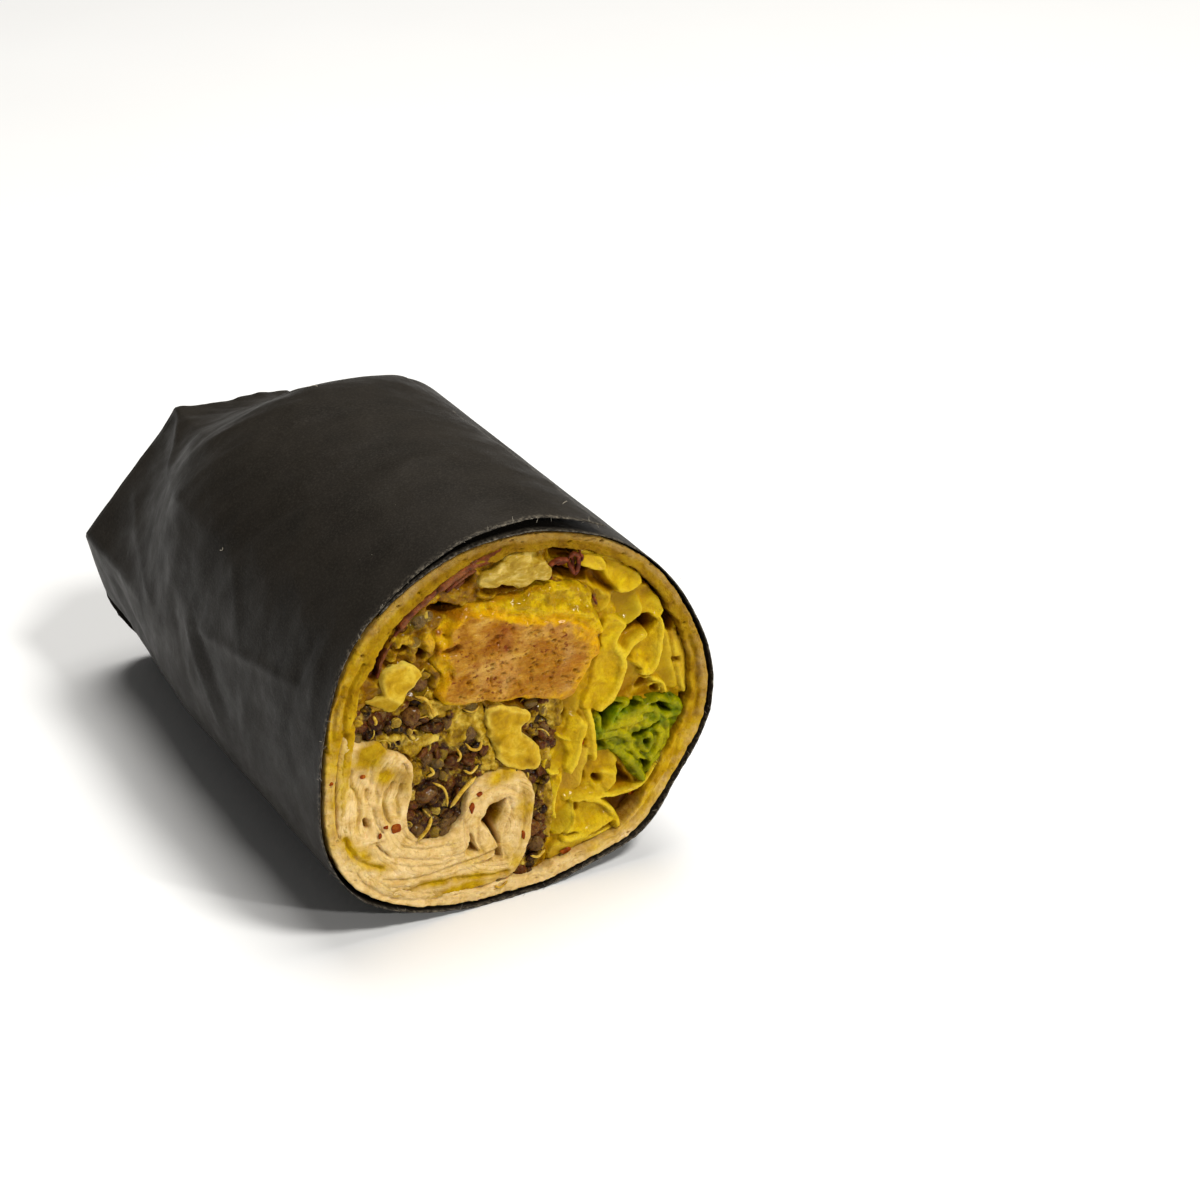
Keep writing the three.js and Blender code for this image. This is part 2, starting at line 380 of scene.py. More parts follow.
def walled(points, quads, rim, values, back):
    """A relief over quads, closed by walls that run back from its rim and by a far face."""
    count = len(points)
    on_rim = np.array(sorted({a for a, _ in rim}))
    order = np.zeros(count, int)
    order[on_rim] = np.arange(len(on_rim))
    layers, faces = [np.column_stack([points, values["depth"]])], [*quads]
    before, first = on_rim, count
    for station in (*WALL_STATIONS, back):
        if station > back or 0 < back - station < 1:
            continue
        layers.append(np.column_stack([points[on_rim], np.full(len(on_rim), station)]))
        here = first + np.arange(len(on_rim))
        faces += [(before[order[a]], before[order[b]], here[order[b]], here[order[a]]) for a, b in rim]
        before = here
        first += len(on_rim)
    faces += [tuple(before[order[a]] for a in loop) for loop in rim_loops(rim)]
    behind = first - count
    values = {name: np.append(v + np.zeros(count), np.full(behind, v.max())) for name, v in values.items()}
    return Shape(np.vstack(layers), faces, **values)


def slab(corners, front, cell=0.2, back=FILLING_BACK, hollow=True, smooth_points=120):
    """A filling: a relief over its outline at the cut, and walls that run back through the roll.
    front gives the relief's named values, such as depth, from points and their distance to the outline."""
    outline = curve(corners, smooth_points, closed=True)
    outline += RAGGED * wobble(outline, 1.4, 7)
    if hollow:
        outline = in_hollow(outline)
    points, quads = cells_inside(outline, cell)
    edges = np.stack([quads, np.roll(quads, -1, 1)], -1).reshape(-1, 2).tolist()
    known = {tuple(edge) for edge in edges}
    rim = [tuple(edge) for edge in edges if (edge[1], edge[0]) not in known]
    distance, foot, _ = to_outline(points, outline)
    on_rim = [a for a, _ in rim]
    points[on_rim] = foot[on_rim]
    distance[on_rim] = 0
    return walled(points, quads, rim, front(points, distance), back)


def ridge(away, width):
    """A smooth ridge, 1 high, along what points are some distance away from."""
    return np.exp(-((away / width) ** 2))


def rounded(distance, reach, drop):
    """How far a relief falls away near its outline, as a rounded edge does."""
    share = np.clip(1 - distance / reach, 0, 1)
    return drop * (1 - np.sqrt(1 - share**2))


def dents(points, spots):
    """Depth of dents, each (right, up, half width, half height, depth), with steep sides."""
    total = np.zeros(len(points))
    for x, z, wide, high, deep in spots:
        away = ((points[:, 0] - x) / wide) ** 2 + ((points[:, 1] - z) / high) ** 2
        total += deep * np.exp(-(away**1.5))
    return total


def carve(points, depth, leaves=(), ribs=(), pits=(), seed=0):
    """Cut pieces in a relief. A leaf is shallow at its cut edge, a part of its outline, and falls away
    behind it. A rib is a narrow band. A pit is a hollow. Later ones lie in front."""
    rim, tint = np.zeros(len(points)), np.zeros(len(points))
    wavy = points + 0.16 * wobble(points, 1.5, seed)
    for number, (near, fall, tone, (first, last), outline) in enumerate(leaves):
        share = smoothstep(depth_inside(wavy, outline), -0.12, 0.16)
        away = near_path(wavy, [outline[i % len(outline)] for i in range(first, last + 1)])
        ripple = 0.3 * noise(flat3(points, 9.0 * number), 2.6, seed + 1)
        surface = near + fall * away + 0.25 * fall * away * np.sin(away * 1.1) + ripple * np.clip(away, 0, 1)
        depth = blend(depth, surface + 0.2 * ridge(away, 0.22), share)
        rim = blend(rim, ridge(away, 0.9), share)
        tint = blend(tint, tone, share)
    for width, near, path in ribs:
        away = near_path(wavy, path, 3) / (width / 2)
        share = 1 - smoothstep(away, 0.75, 1.25)
        depth = blend(depth, near + 0.18 * width * away**2, share)
        rim = np.maximum(rim, share)
    for deep, soft, outline in pits:
        share = smoothstep(depth_inside(wavy, outline), -0.15, soft)
        depth = depth + deep * share
        rim = rim * (1 - share)
    return depth, rim, tint


def ribbon(path, thickness, front, deep, seed, **values):
    """A sheet cut across: its edge follows a path over the cut face, and it runs back from there."""
    corners = np.asarray(path, float)
    length = np.linalg.norm(np.diff(corners, axis=0), axis=1).sum()
    count = max(int(length / 0.3), 8)
    middle = curve(corners, count)
    middle += 0.15 * wobble(middle, 2.5, seed, 50)
    ahead = np.gradient(middle, axis=0)
    ahead /= np.linalg.norm(ahead, axis=1)[:, None]
    side = np.stack([ahead[:, 1], -ahead[:, 0]], 1)
    share = np.linspace(0, 1, count)
    half = thickness / 2 * (1 + 0.22 * noise(flat3(middle, 9), 1.6, seed))
    half *= np.clip(np.minimum(share, 1 - share) * 14, 0.25, 1)
    start = front + 0.3 * noise(flat3(middle, 3), 3.5, seed + 5) + 0.12 * noise(flat3(middle, 5), 0.8, seed)
    # across the sheet: one side from behind, round its nose, and the other side back
    nose = [(math.sin(a), 0, 0.8 * (1 - math.cos(a))) for a in np.radians([-90, -60, -30, 0, 30, 60, 90])]
    rows = []
    for across, behind, round_nose in [(-1, 1, 0), (-1, 0.45, 0), *nose, (1, 0.45, 0), (1, 1, 0)]:
        spot = middle + side * (half * across)[:, None]
        rows.append(np.column_stack([spot, start + behind * deep + round_nose * half]))
    points = np.stack(rows, 1)
    points[..., 2] += 0.06 * noise(points.reshape(-1, 3), 0.7, seed + 2).reshape(points.shape[:2])
    return capped(points, depth=np.maximum(points[..., 2].ravel(), 0), **values)


def leaf(rim, back, tilt, cup, thickness, ruffle, seed, around, rings):
    """A piece of leaf: a thin sheet over a closed rim drawn on the cut, tilted, dished and ruffled."""
    edge = curve(rim, around, closed=True)
    middle = edge.mean(0)
    edge = edge + 0.22 * wobble(edge, 1.3, seed, 40)
    share = np.linspace(0, 1, rings + 1)[1:]
    plan = middle + (edge - middle)[None] * share[:, None, None]
    away = plan - middle
    depth = back + away[..., 0] * tilt[0] + away[..., 1] * tilt[1] + cup * (1 - share[:, None] ** 2)
    rippled = ripples(plan.reshape(-1, 2), (ruffle, 3.2, seed + 3), (0.35 * ruffle, 1.4, seed + 4))
    depth += rippled.reshape(depth.shape) * (0.4 + 0.9 * share[:, None])
    sheet = np.concatenate([plan, depth[..., None]], -1)
    out_way = np.gradient(sheet, axis=0)
    normal = np.cross(out_way, np.roll(sheet, -1, 1) - np.roll(sheet, 1, 1))
    normal /= np.linalg.norm(normal, axis=-1)[..., None] + 1e-9
    normal *= np.sign(normal[..., 2:3] + 1e-9)
    half = thickness / 2
    lip = out_way[-1] / (np.linalg.norm(out_way[-1], axis=-1)[:, None] + 1e-9)
    turns = [sheet[-1] + lip * half * math.cos(a) - normal[-1] * half * math.sin(a) for a in (0.8, 0, -0.8)]
    rows = np.concatenate([sheet - normal * half, turns, (sheet + normal * half)[::-1]], 0)
    peak = sheet[0].mean(0)
    points = np.vstack([rows.reshape(-1, 3), peak - (0, 0, half), peak + (0, 0, half)])
    to_edge = np.concatenate([np.repeat([*share, 1, 1, 1, *share[::-1]], around), [0, 0]])
    return Shape(points, ball_faces(len(rows), around), depth=np.maximum(points[:, 2], 0), rim=to_edge**3)


def tube(path, radius, sides=6, **values):
    """A thread along points (right, up, back), thinner at its ends."""
    path = np.asarray(path, float)
    ahead = np.gradient(path, axis=0)
    ahead /= np.linalg.norm(ahead, axis=1)[:, None] + 1e-9
    side = np.cross(ahead, (0.31, 0.17, 0.93))
    side /= np.linalg.norm(side, axis=1)[:, None] + 1e-9
    up = np.cross(ahead, side)
    share = np.linspace(0, 1, len(path))
    reach = radius * np.clip(np.minimum(share, 1 - share) * 8, 0.3, 1)[:, None]
    turns = [2 * math.pi * k / sides for k in range(sides)]
    rings = [path + (side * math.cos(a) + up * math.sin(a)) * reach for a in turns]
    return capped(np.stack(rings, 1), **values)


# ---- materials


def rgb(red, green, blue):
    """A colour as a screen shows it, 0 to 255, in the linear values that shaders take."""
    screen = np.array([red, green, blue]) / 255
    linear = np.where(screen <= 0.04045, screen / 12.92, ((screen + 0.055) / 1.055) ** 2.4)
    return (*map(float, linear), 1.0)


class Look:
    """One procedural material, written node by node."""

    def __init__(self, name):
        self.material = bpy.data.materials.new(name)
        self.material.use_nodes = True
        self.tree = self.material.node_tree
        self.tree.nodes.clear()
        self.place = self.node("TexCoord").outputs["Object"]

    def node(self, kind, inputs=None, **settings):
        made = self.tree.nodes.new("ShaderNode" + kind)
        for name, value in settings.items():
            setattr(made, name, value)
        for name, value in (inputs or {}).items():
            if isinstance(value, bpy.types.NodeSocket):
                self.tree.links.new(value, made.inputs[name])
            else:
                made.inputs[name].default_value = value
        return made

    def scaled(self, size, stretch=(1, 1, 1)):
        """The place on the object, in units of so many millimetres, drawn out along each axis."""
        scale = [1 / (MM * size * s) for s in stretch]
        return self.node("Mapping", {"Vector": self.place, "Scale": scale}).outputs[0]

    def noise(self, size, detail=3.0, rough=0.55, stretch=(1, 1, 1), warp=0.0):
        inputs = {"Vector": self.scaled(size, stretch), "Scale": 1.0, "Detail": detail, "Roughness": rough}
        return self.node("TexNoise", {**inputs, "Distortion": warp}).outputs["Fac"]

    def cells(self, size):
        return self.node("TexVoronoi", {"Vector": self.scaled(size), "Scale": 1.0}).outputs["Distance"]

    def value(self, name):
        return self.node("Attribute", attribute_name=name).outputs["Fac"]

    def ramp(self, value, *stops):
        made = self.node("ValToRGB", {"Fac": value})
        points = made.color_ramp.elements
        while len(points) < len(stops):
            points.new(0.5)
        for point, (at, colour) in zip(points, stops):
            point.position = at
            point.color = colour
        return made.outputs["Color"]

    def span(self, value, low, high, to_low=0.0, to_high=1.0):
        inputs = {"Value": value, 1: low, 2: high, 3: to_low, 4: to_high}
        return self.node("MapRange", inputs).outputs["Result"]

    def mix(self, share, first, second, way="MIX"):
        made = self.node("Mix", {0: share, 6: first, 7: second}, data_type="RGBA", blend_type=way)
        return made.outputs[2]

    def over(self, under, colour, value, low, high, most=1.0, way="MIX"):
        """A colour laid over another as a value goes from low to high, up to a share of most."""
        return self.mix(self.span(value, low, high, 0.0, most), under, colour, way)

    def math(self, way, first, second=0.0):
        return self.node("Math", {0: first, 1: second}, operation=way).outputs[0]

    def add(self, first, second):
        return self.math("ADD", first, second)

    def times(self, first, second):
        return self.math("MULTIPLY", first, second)

    def ragged(self, name, noise, reach, low=0.3, high=0.7):
        """A named value, made ragged by noise."""
        return self.add(self.value(name), self.span(noise, low, high, -reach, reach))

    def bump(self, height, reach, strength=1.0, under=None):
        inputs = {"Height": height, "Distance": reach * MM, "Strength": strength}
        if under:
            inputs["Normal"] = under
        return self.node("Bump", inputs).outputs[0]

    def finish(self, colour, roughness, normal=None, **shader):
        inputs = {"Base Color": colour, "Roughness": roughness}
        if normal:
            inputs["Normal"] = normal
        inputs.update({name.replace("_", " "): value for name, value in shader.items()})
        made = self.node("BsdfPrincipled", inputs)
        self.node("OutputMaterial", {"Surface": made.outputs[0]})
        return self.material


JUICY = {"Subsurface_Weight": 0.25, "Subsurface_Radius": (1.0, 0.6, 0.1), "Subsurface_Scale": 1.0 * MM}
PAINTS = {  # colours as they look in soft light, from shade to light
    "curry": [rgb(84, 50, 0), rgb(142, 102, 0), rgb(204, 166, 22)],
    "golden": [rgb(212, 158, 2), rgb(220, 178, 12), rgb(206, 172, 12)],
    "leaf": [rgb(156, 118, 0), rgb(194, 156, 0), rgb(214, 184, 14)],
    "leafy": [rgb(66, 76, 0), rgb(108, 110, 0), rgb(152, 146, 0)],
    "cream": [rgb(132, 98, 6), rgb(166, 136, 40), rgb(204, 178, 96)],
    "pulp": [rgb(146, 108, 0), rgb(182, 144, 14), rgb(206, 176, 54)],
    "maroon": [rgb(42, 8, 2), rgb(80, 20, 8), rgb(138, 62, 30)],
    "chilli": [rgb(92, 32, 0), rgb(130, 54, 0), rgb(154, 84, 8)],
    "germ": [rgb(150, 112, 22), rgb(188, 152, 50), rgb(212, 182, 88)],
}


def moist(name, paint, size, shine, bump, stretch=(1, 1, 1), rim=None, pits=None, tints=None, coat=0.08):
    """Moist food. Its tone varies in patches. The value rim lightens it and tint turns it; depth darkens it
    with painted shade, more the further back the surface lies.
    """
    look = Look(name)
    dark, middle, light = PAINTS[paint]
    colour = look.ramp(look.noise(size, 5, 0.62, stretch, 0.5), (0.32, dark), (0.5, middle), (0.68, light))
    if tints:
        tint = look.ragged("tint", look.noise(size * 1.7, 3), 0.25)
        colour = look.over(colour, tints[1], tint, 0.0, 1.0)
        colour = look.over(colour, tints[0], tint, 0.0, -1.0)
    if rim:
        edge = look.times(look.value("rim"), look.span(look.noise(1.9, 4), 0.34, 0.58, 0.15, 1.0))
        colour = look.mix(edge, colour, rim)
    colour = look.over(colour, dark, look.noise(size * 0.2, 4, 0.7, stretch), 0.48, 0.75, 0.5)
    # painted shade: the pit colours darken the surface the further back it lies behind the cut
    if pits:
        colour = look.over(colour, pits[0], look.value("depth"), 0.9, 2.6)
        colour = look.over(colour, pits[1], look.value("depth"), 2.4, 5.0)
    rough = look.span(look.noise(size * 0.4, 4), 0.3, 0.7, shine - 0.12, shine + 0.16)
    normal = look.bump(look.noise(size * 0.25, 5, 0.65, stretch), bump)
    return look.finish(
        colour, rough, normal, Coat_Weight=coat, Coat_Roughness=0.1, Specular_IOR_Level=0.04, **JUICY
    )


def paper_look():
    """Matt black paper with fine specks, and pale fibres where it is torn."""
    look = Look("black_paper")
    tone = look.ramp(look.noise(9, 4), (0.3, rgb(27, 24, 20)), (0.7, rgb(37, 33, 28)))
    tone = look.over(tone, rgb(52, 48, 42), look.noise(0.3, 2, 0.5), 0.45, 0.75, 0.6)
    torn = look.times(look.value("torn"), look.span(look.noise(0.6, 4, 0.7), 0.45, 0.7))
    tone = look.mix(torn, tone, rgb(120, 112, 98))
    rough = look.span(look.noise(5, 4), 0.3, 0.7, 0.42, 0.6)
    normal = look.bump(look.noise(0.5, 4, 0.75, (1, 2.0, 1)), 0.04)
    normal = look.bump(look.noise(3.2, 4, 0.55, warp=0.6), 0.12, 0.8, normal)
    return look.finish(tone, rough, normal, Specular_IOR_Level=0.1)


def lint_look():
    look = Look("paper_fibre")
    tone = look.ramp(look.noise(0.8, 2), (0.35, rgb(104, 98, 86)), (0.65, rgb(168, 160, 144)))
    return look.finish(tone, 0.8)


def tortilla_look():
    """Cream crumb, yellow where the value stain says, toasted where skin says; painted shade makes it ochre,
    then dark brown, where it lies deep, and darker at the top of the ring and in some folds, partly with
    soaked-in sauce.
    """
    look = Look("wheat_tortilla")
    crumb = look.noise(1.5, 5, 0.62, (1.3, 1, 1), 0.6)
    crumb = look.ramp(crumb, (0.3, rgb(192, 154, 84)), (0.5, rgb(214, 182, 120)), (0.7, rgb(226, 200, 146)))
    yellow = look.noise(2.2, 5)
    yellow = look.ramp(yellow, (0.3, rgb(148, 108, 0)), (0.5, rgb(180, 142, 4)), (0.72, rgb(204, 170, 28)))
    colour = look.over(crumb, yellow, look.ragged("stain", look.noise(3.4, 5, 0.62), 0.3), 0.1, 0.9)
    toasted = look.noise(3.0, 4)
    toasted = look.ramp(
        toasted, (0.35, rgb(150, 110, 52)), (0.6, rgb(196, 158, 88)), (0.75, rgb(214, 182, 116))
    )
    colour = look.mix(look.value("skin"), colour, toasted)
    # painted shade: ochre where the cut lies a little back
    colour = look.over(colour, rgb(158, 108, 16), look.value("depth"), 0.6, 3.0)
    # painted shade, partly soaked-in sauce: darker at the top of the ring, under the paper, and in some folds
    colour = look.over(colour, rgb(176, 164, 120), look.value("dull"), 0.0, 1.0, way="MULTIPLY")
    # painted shade: dark brown in the deep gaps
    colour = look.over(colour, rgb(84, 50, 4), look.value("depth"), 2.4, 6.0)
    pores = look.span(look.cells(0.55), 0.1, 0.4)
    height = look.add(look.times(pores, 0.5), look.noise(0.45, 5, 0.7))
    # fine broken lines along the layers of the sheet
    wander = look.times(look.noise(3.5, 4), 14.0)
    layer = look.math("SINE", look.add(look.times(look.value("layer"), 9.0), wander))
    line = look.times(look.span(layer, 0.2, 1.0), look.span(look.noise(4.0, 3), 0.42, 0.62))
    colour = look.mix(look.times(line, 0.25), colour, rgb(160, 118, 30))
    height = look.math("SUBTRACT", height, look.times(line, 0.5))
    rough = look.span(look.noise(1.5, 3), 0.3, 0.7, 0.55, 0.78)
    return look.finish(colour, rough, look.bump(height, 0.12), Specular_IOR_Level=0.06, **JUICY)


def meat_colour(look, fibre):
    """Tan meat with brown fibres and specks."""
    meat = look.ramp(
        look.noise(2.8, 6, 0.66, (1.5, 1, 1), 0.8),
        (0.3, rgb(138, 84, 4)),
        (0.44, rgb(164, 110, 16)),
        (0.56, rgb(188, 138, 42)),
        (0.72, rgb(208, 168, 78)),
    )
    meat = look.over(meat, rgb(140, 76, 0), fibre, 0.46, 0.68, 0.6)
    meat = look.over(meat, rgb(196, 154, 86), look.noise(6.5, 3), 0.48, 0.62, 0.55)
    meat = look.over(meat, rgb(146, 80, 0), look.noise(1.1, 4, 0.6), 0.55, 0.7, 0.5)
    meat = look.over(meat, rgb(172, 98, 0), look.noise(5.0, 4, 0.6), 0.5, 0.68, 0.35)
    specks = look.span(look.noise(0.75, 3, 0.6, (1.3, 1, 1)), 0.57, 0.65)
    meat = look.mix(look.times(specks, look.span(look.noise(4.0, 3), 0.4, 0.6)), meat, rgb(112, 44, 0))
    # brown where tint says: brown patches, and painted shade along the top and round pits
    return look.mix(look.value("tint"), meat, rgb(130, 58, 0))


def chicken_look():
    """Meat, with golden curry where the value stain says, brown where tint says (brown patches, and painted
    shade along the top and round pits), and painted shade that darkens it where it lies deep.
    """
    look = Look("curried_chicken")
    fibre = look.noise(0.6, 5, 0.7, (2.8, 1, 1), 0.5)
    meat = meat_colour(look, fibre)
    near, middle, far = PAINTS["golden"]
    gold = look.ragged("gold", look.noise(2.2, 5, 0.6), 0.35)
    golden = look.ramp(gold, (0.0, near), (0.4, middle), (0.8, far), (1.0, rgb(168, 132, 2)))
    golden = look.over(golden, rgb(172, 112, 0), look.noise(1.2, 5, 0.65), 0.5, 0.75, 0.5)
    golden = look.mix(look.value("tint"), golden, rgb(146, 80, 0))
    stain = look.ragged("stain", look.noise(1.4, 5, 0.7), 0.4, 0.25, 0.75)
    colour = look.over(meat, golden, stain, 0.2, 0.8)
    # painted shade: darker the further back it lies
    colour = look.over(colour, rgb(96, 48, 0), look.value("depth"), 1.6, 4.0)
    normal = look.bump(look.add(fibre, look.times(look.noise(0.35, 3), 0.5)), 0.5)
    rough = look.span(look.value("stain"), 0.2, 0.8, 0.6, 0.3)
    return look.finish(
        colour, rough, normal, Coat_Weight=0.14, Coat_Roughness=0.1, Specular_IOR_Level=0.04, **JUICY
    )


def grain_look(name):
    """Cooked quinoa: the value tone runs from black through red-brown and grey to cream, and yellow sauce
    lies over it where the value film is high. Painted shade darkens it where it lies deep."""
    look = Look(name)
    hull = look.ramp(
        look.value("tone"),
        (0.0, rgb(20, 7, 2)),
        (0.25, rgb(52, 20, 6)),
        (0.45, rgb(92, 42, 11)),
        (0.65, rgb(96, 76, 44)),
        (0.82, rgb(122, 96, 14)),
        (1.0, rgb(200, 168, 70)),
    )
    hull = look.over(hull, rgb(126, 90, 26), look.noise(0.8, 5, 0.65), 0.45, 0.7, 0.55)
    hull = look.over(hull, rgb(24, 9, 3), look.noise(0.45, 4, 0.7), 0.52, 0.68, 0.7)
    hull = look.over(hull, rgb(150, 122, 50), look.noise(0.6, 4, 0.7), 0.56, 0.72, 0.6)
    # painted shade: darker the further back it lies
    hull = look.over(hull, rgb(44, 18, 2), look.value("depth"), 1.6, 4.0)
    sauce = look.noise(1.8, 4)
    sauce = look.ramp(sauce, (0.34, rgb(108, 76, 0)), (0.5, rgb(158, 124, 14)), (0.66, rgb(204, 174, 70)))
    colour = look.over(hull, sauce, look.ragged("film", look.noise(1.3, 5, 0.62, warp=0.4), 0.35), 0.4, 0.62)
    rough = look.span(look.noise(0.9, 3), 0.3, 0.7, 0.25, 0.5)
    normal = look.bump(look.noise(0.4, 4), 0.35)
    return look.finish(
        colour, rough, normal, Coat_Weight=0.14, Coat_Roughness=0.1, Specular_IOR_Level=0.05, **JUICY
    )


LOOKS = {  # for moist food: size of its patches, roughness, bump, and colours of its rim, of the painted shade in its pits, and of its tints
    "paper": paper_look(),
    "lint": lint_look(),
    "tortilla": tortilla_look(),
    "chicken": chicken_look(),
    "sauce": moist(
        "curry_sauce", "curry", 1.5, 0.34, 0.3, pits=(rgb(110, 62, 0), rgb(40, 14, 0)),
        tints=(rgb(86, 80, 4), rgb(206, 160, 26)), coat=0.2,
    ),
    "fruit": moist(
        "pale_fruit", "pulp", 3.0, 0.36, 0.1, rim=rgb(214, 188, 76), pits=(rgb(150, 104, 6), rgb(90, 50, 0))
    ),
    "cabbage": moist(
        "cabbage", "cream", 2.4, 0.3, 0.12, (1.0, 1, 0.45), pits=(rgb(130, 94, 4), rgb(80, 44, 0)), coat=0.15
    ),
    "lettuce": moist(
        "pale_lettuce", "leaf", 2.2, 0.36, 0.24, rim=rgb(208, 180, 40),
        pits=(rgb(136, 88, 0), rgb(66, 30, 0)), tints=(rgb(146, 130, 0), rgb(184, 148, 36)),
    ),
    "green": moist(
        "green_lettuce", "leafy", 2.0, 0.4, 0.1, rim=rgb(160, 152, 2),
        pits=(rgb(60, 68, 0), rgb(14, 24, 0)), tints=(rgb(84, 108, 0), rgb(168, 150, 10)),
    ),
    # the red leaf's pale rim colour: partly painted highlight, partly tone
    "red": moist(
        "red_leaf", "maroon", 1.0, 0.34, 0.2, rim=rgb(176, 116, 62), pits=(rgb(44, 8, 2), rgb(26, 4, 0)),
        coat=0.16,
    ),
    "grain": grain_look("quinoa_grain"),
    "bed": grain_look("quinoa_bed"),
    "germ": moist("quinoa_germ", "germ", 1.2, 0.4, 0.04),
    "chilli": moist("chilli_flake", "chilli", 1.0, 0.34, 0.06),
}

# ---- paper

FREE_EDGE = 62  # degrees; where the sheet ends on top, and its corner stands out at the right
PAPER_TURN = 432  # degrees of paper, from the free edge round and in under it
UNDER_START = (285, 350)  # degrees from the free edge over which the sheet goes in under its own start
PAPER_RADIUS = 31  # in the middle, for measures along the sheet
ARC = math.radians(1) * PAPER_RADIUS  # millimetres round the roll in one degree
SHEET_OF_PAPER = 0.16
PAPER_COLUMNS = 380
PAPER_ROWS_PER_MM = 1.15
MOUTH_ROWS = [0, 0.25, 0.6, 1.1]  # rows close to the cut, in millimetres
MOUTH_TORN = [1.0, 0.9, 0.35]  # how torn the first of them look
END_RINGS = (0.97, 0.9, 0.8, 0.66, 0.5, 0.34, 0.18, 0.06)  # of the closed end, as shares of its radius
# Folds and creases: from (degrees, back) to (degrees, back), half width and height.
CREASES = [
    ((148.8, 38.5), (101.2, 26.1), 1.5, -0.75), ((150.5, 38), (101.2, 24), 2.6, 0.35),
    ((127.4, 98.2), (150.5, 79.9), 2.4, 0.9), ((150.5, 79.9), (148.8, 38.5), 5, 0.55),
    ((148.8, 38.5), (171.7, 27.4), 3, 0.4), ((177.2, 46.1), (163.9, 8.2), 1.5, 0.65),
    ((174.6, 46.2), (198.4, 29.2), 1.3, -0.7), ((176, 50), (203, 33), 1.5, 0.5),
    ((172, 56), (207, 47), 1.2, -0.4), ((141.9, 5.8), (173.5, 4.2), 1.8, 0.4),
    ((149.5, 8.4), (178, 11.5), 1.3, -0.35), ((143.1, 50.3), (102.3, 35.5), 2, 0.35),
    ((135.3, 60), (98, 46), 2.2, -0.35), ((141.6, 70.9), (98.7, 52.7), 2.6, 0.4),
    ((120, 78), (92, 64), 2, -0.3), ((104, 26), (84, 24), 4, 0.4), ((100, 30), (96, 82), 5, 0.3),
    ((20, 30), (48, 62), 2.4, -0.5), ((352, 22), (30, 48), 2, 0.45), ((330, 70), (25, 80), 2.2, -0.6),
    ((300, 40), (345, 58), 1.8, 0.4), ((215, 60), (196, 88), 2, -0.6),
    ((186, 62), (170, 92), 2.2, 0.5),
]
FLAPS = [
    [(-26, 24), (-26, 14), (-18, 4.5), (-4, 10), (6, 22), (2, 34), (-12, 42), (-22, 32)],
    [(27, 22), (25, 6), (14, 4.5), (2, 14), (-3, 26), (6, 36), (20, 40), (27, 34)],
    [(-8, 4.4), (20, 4.4), (15, 14), (9, 23), (3, 26.5), (-3, 22), (-7, 12)],
]
STRAY_LINT = [
    (109.9, 16.6, 1), (127, 11.5, 2.4), (124, 10.4, 0.8), (71, 5, 1.6), (150, 42, 1.2), (96, 60, 1.4),
]  # degrees, back, length


def degrees_from(angle, start):
    """Degrees from one angle to another, the short way round."""
    return (angle - start + 540) % 360 - 180


def crease_relief(angle, back):
    total = np.zeros(len(angle))
    for (a1, d1), (a2, d2), width, height in CREASES:
        s, t = degrees_from(angle, a1) * ARC, back - d1
        span = np.array([degrees_from(a2, a1) * ARC, d2 - d1])
        length = np.hypot(*span)
        along = (s * span[0] + t * span[1]) / length
        across = np.abs(s * span[1] - t * span[0]) / length
        start = smoothstep(along, -0.12 * length, 0.2 * length)
        end = smoothstep(-along, -1.12 * length, -0.8 * length)
        total += height * start * end * np.exp(-across / width)
    return total


def paper_relief(angle, back):
    """Wrinkles: drawn creases, slanting tension lines, and a fine all-over crumple."""
    theta = np.radians(angle)
    round_way = np.stack([PAPER_RADIUS * np.cos(theta), PAPER_RADIUS * np.sin(theta), back], 1)
    arc = degrees_from(angle, 0) * ARC
    slanted = np.stack([(arc * 0.89 + back * 0.45), (back * 0.89 - arc * 0.45), 0 * arc], 1)
    tension = ripples(slanted, (1, (26, 5.5, 9), 5), (0.5, (15, 2.6, 9), 6))
    on_top = ridge(angle - 122, 34) * smoothstep(back, 14, 34)
    sharp = 1 - np.abs(noise(round_way, (9, 9, 16), 8)) * 2
    relief = crease_relief(angle % 360, back)
    relief += 0.28 * tension * (0.3 + on_top)
    relief += 0.42 * noise(round_way, (20, 20, 34), 3) + 0.12 * sharp
    relief += 0.05 * layered(round_way, 4.0, 9)
    return relief * smoothstep(back, -2, 10) + 0.15 * noise(round_way, 6.0, 4)


def paper_offset(turned, back):
    """How far the sheet lies outside the tortilla, by degrees turned from its free edge."""
    lift = swell(FREE_EDGE + turned, PAPER_LIFT) * (1 - smoothstep(back / LENGTH, 0.2, 0.8))
    outer = PAPER_GAP + PAPER - 0.1 + lift * (turned < 200)
    return blend(outer, PAPER_GAP + 0.1, smoothstep(turned, *UNDER_START))


def proud(relief):
    """Hollows in the sheet are shallower than its ridges are high, because the food fills it."""
    return np.maximum(relief, 0.7 * relief)


def closed_end(turned, radius):
    """The far end: the sheet turns in over the edge and runs to the middle in pleats."""
    angle = FREE_EDGE + turned
    layer_drop = 0.45 * smoothstep(turned, *UNDER_START)
    rings = []
    for share in END_RINGS:
        swirl = angle + 14 * (1 - share)
        saw = np.abs(((swirl * 7 / 360) % 1) - 0.25)
        level = LENGTH - 0.9 + 0.6 * (1 - share) - layer_drop
        level = level - 0.9 * saw * smoothstep(share, 0.05, 0.5)
        level = level + 0.25 * noise(from_polar(angle, 20 * share, 0 * angle), 7.0, 31)
        rings.append(from_polar(angle, radius * share, level))
    return np.stack(rings)


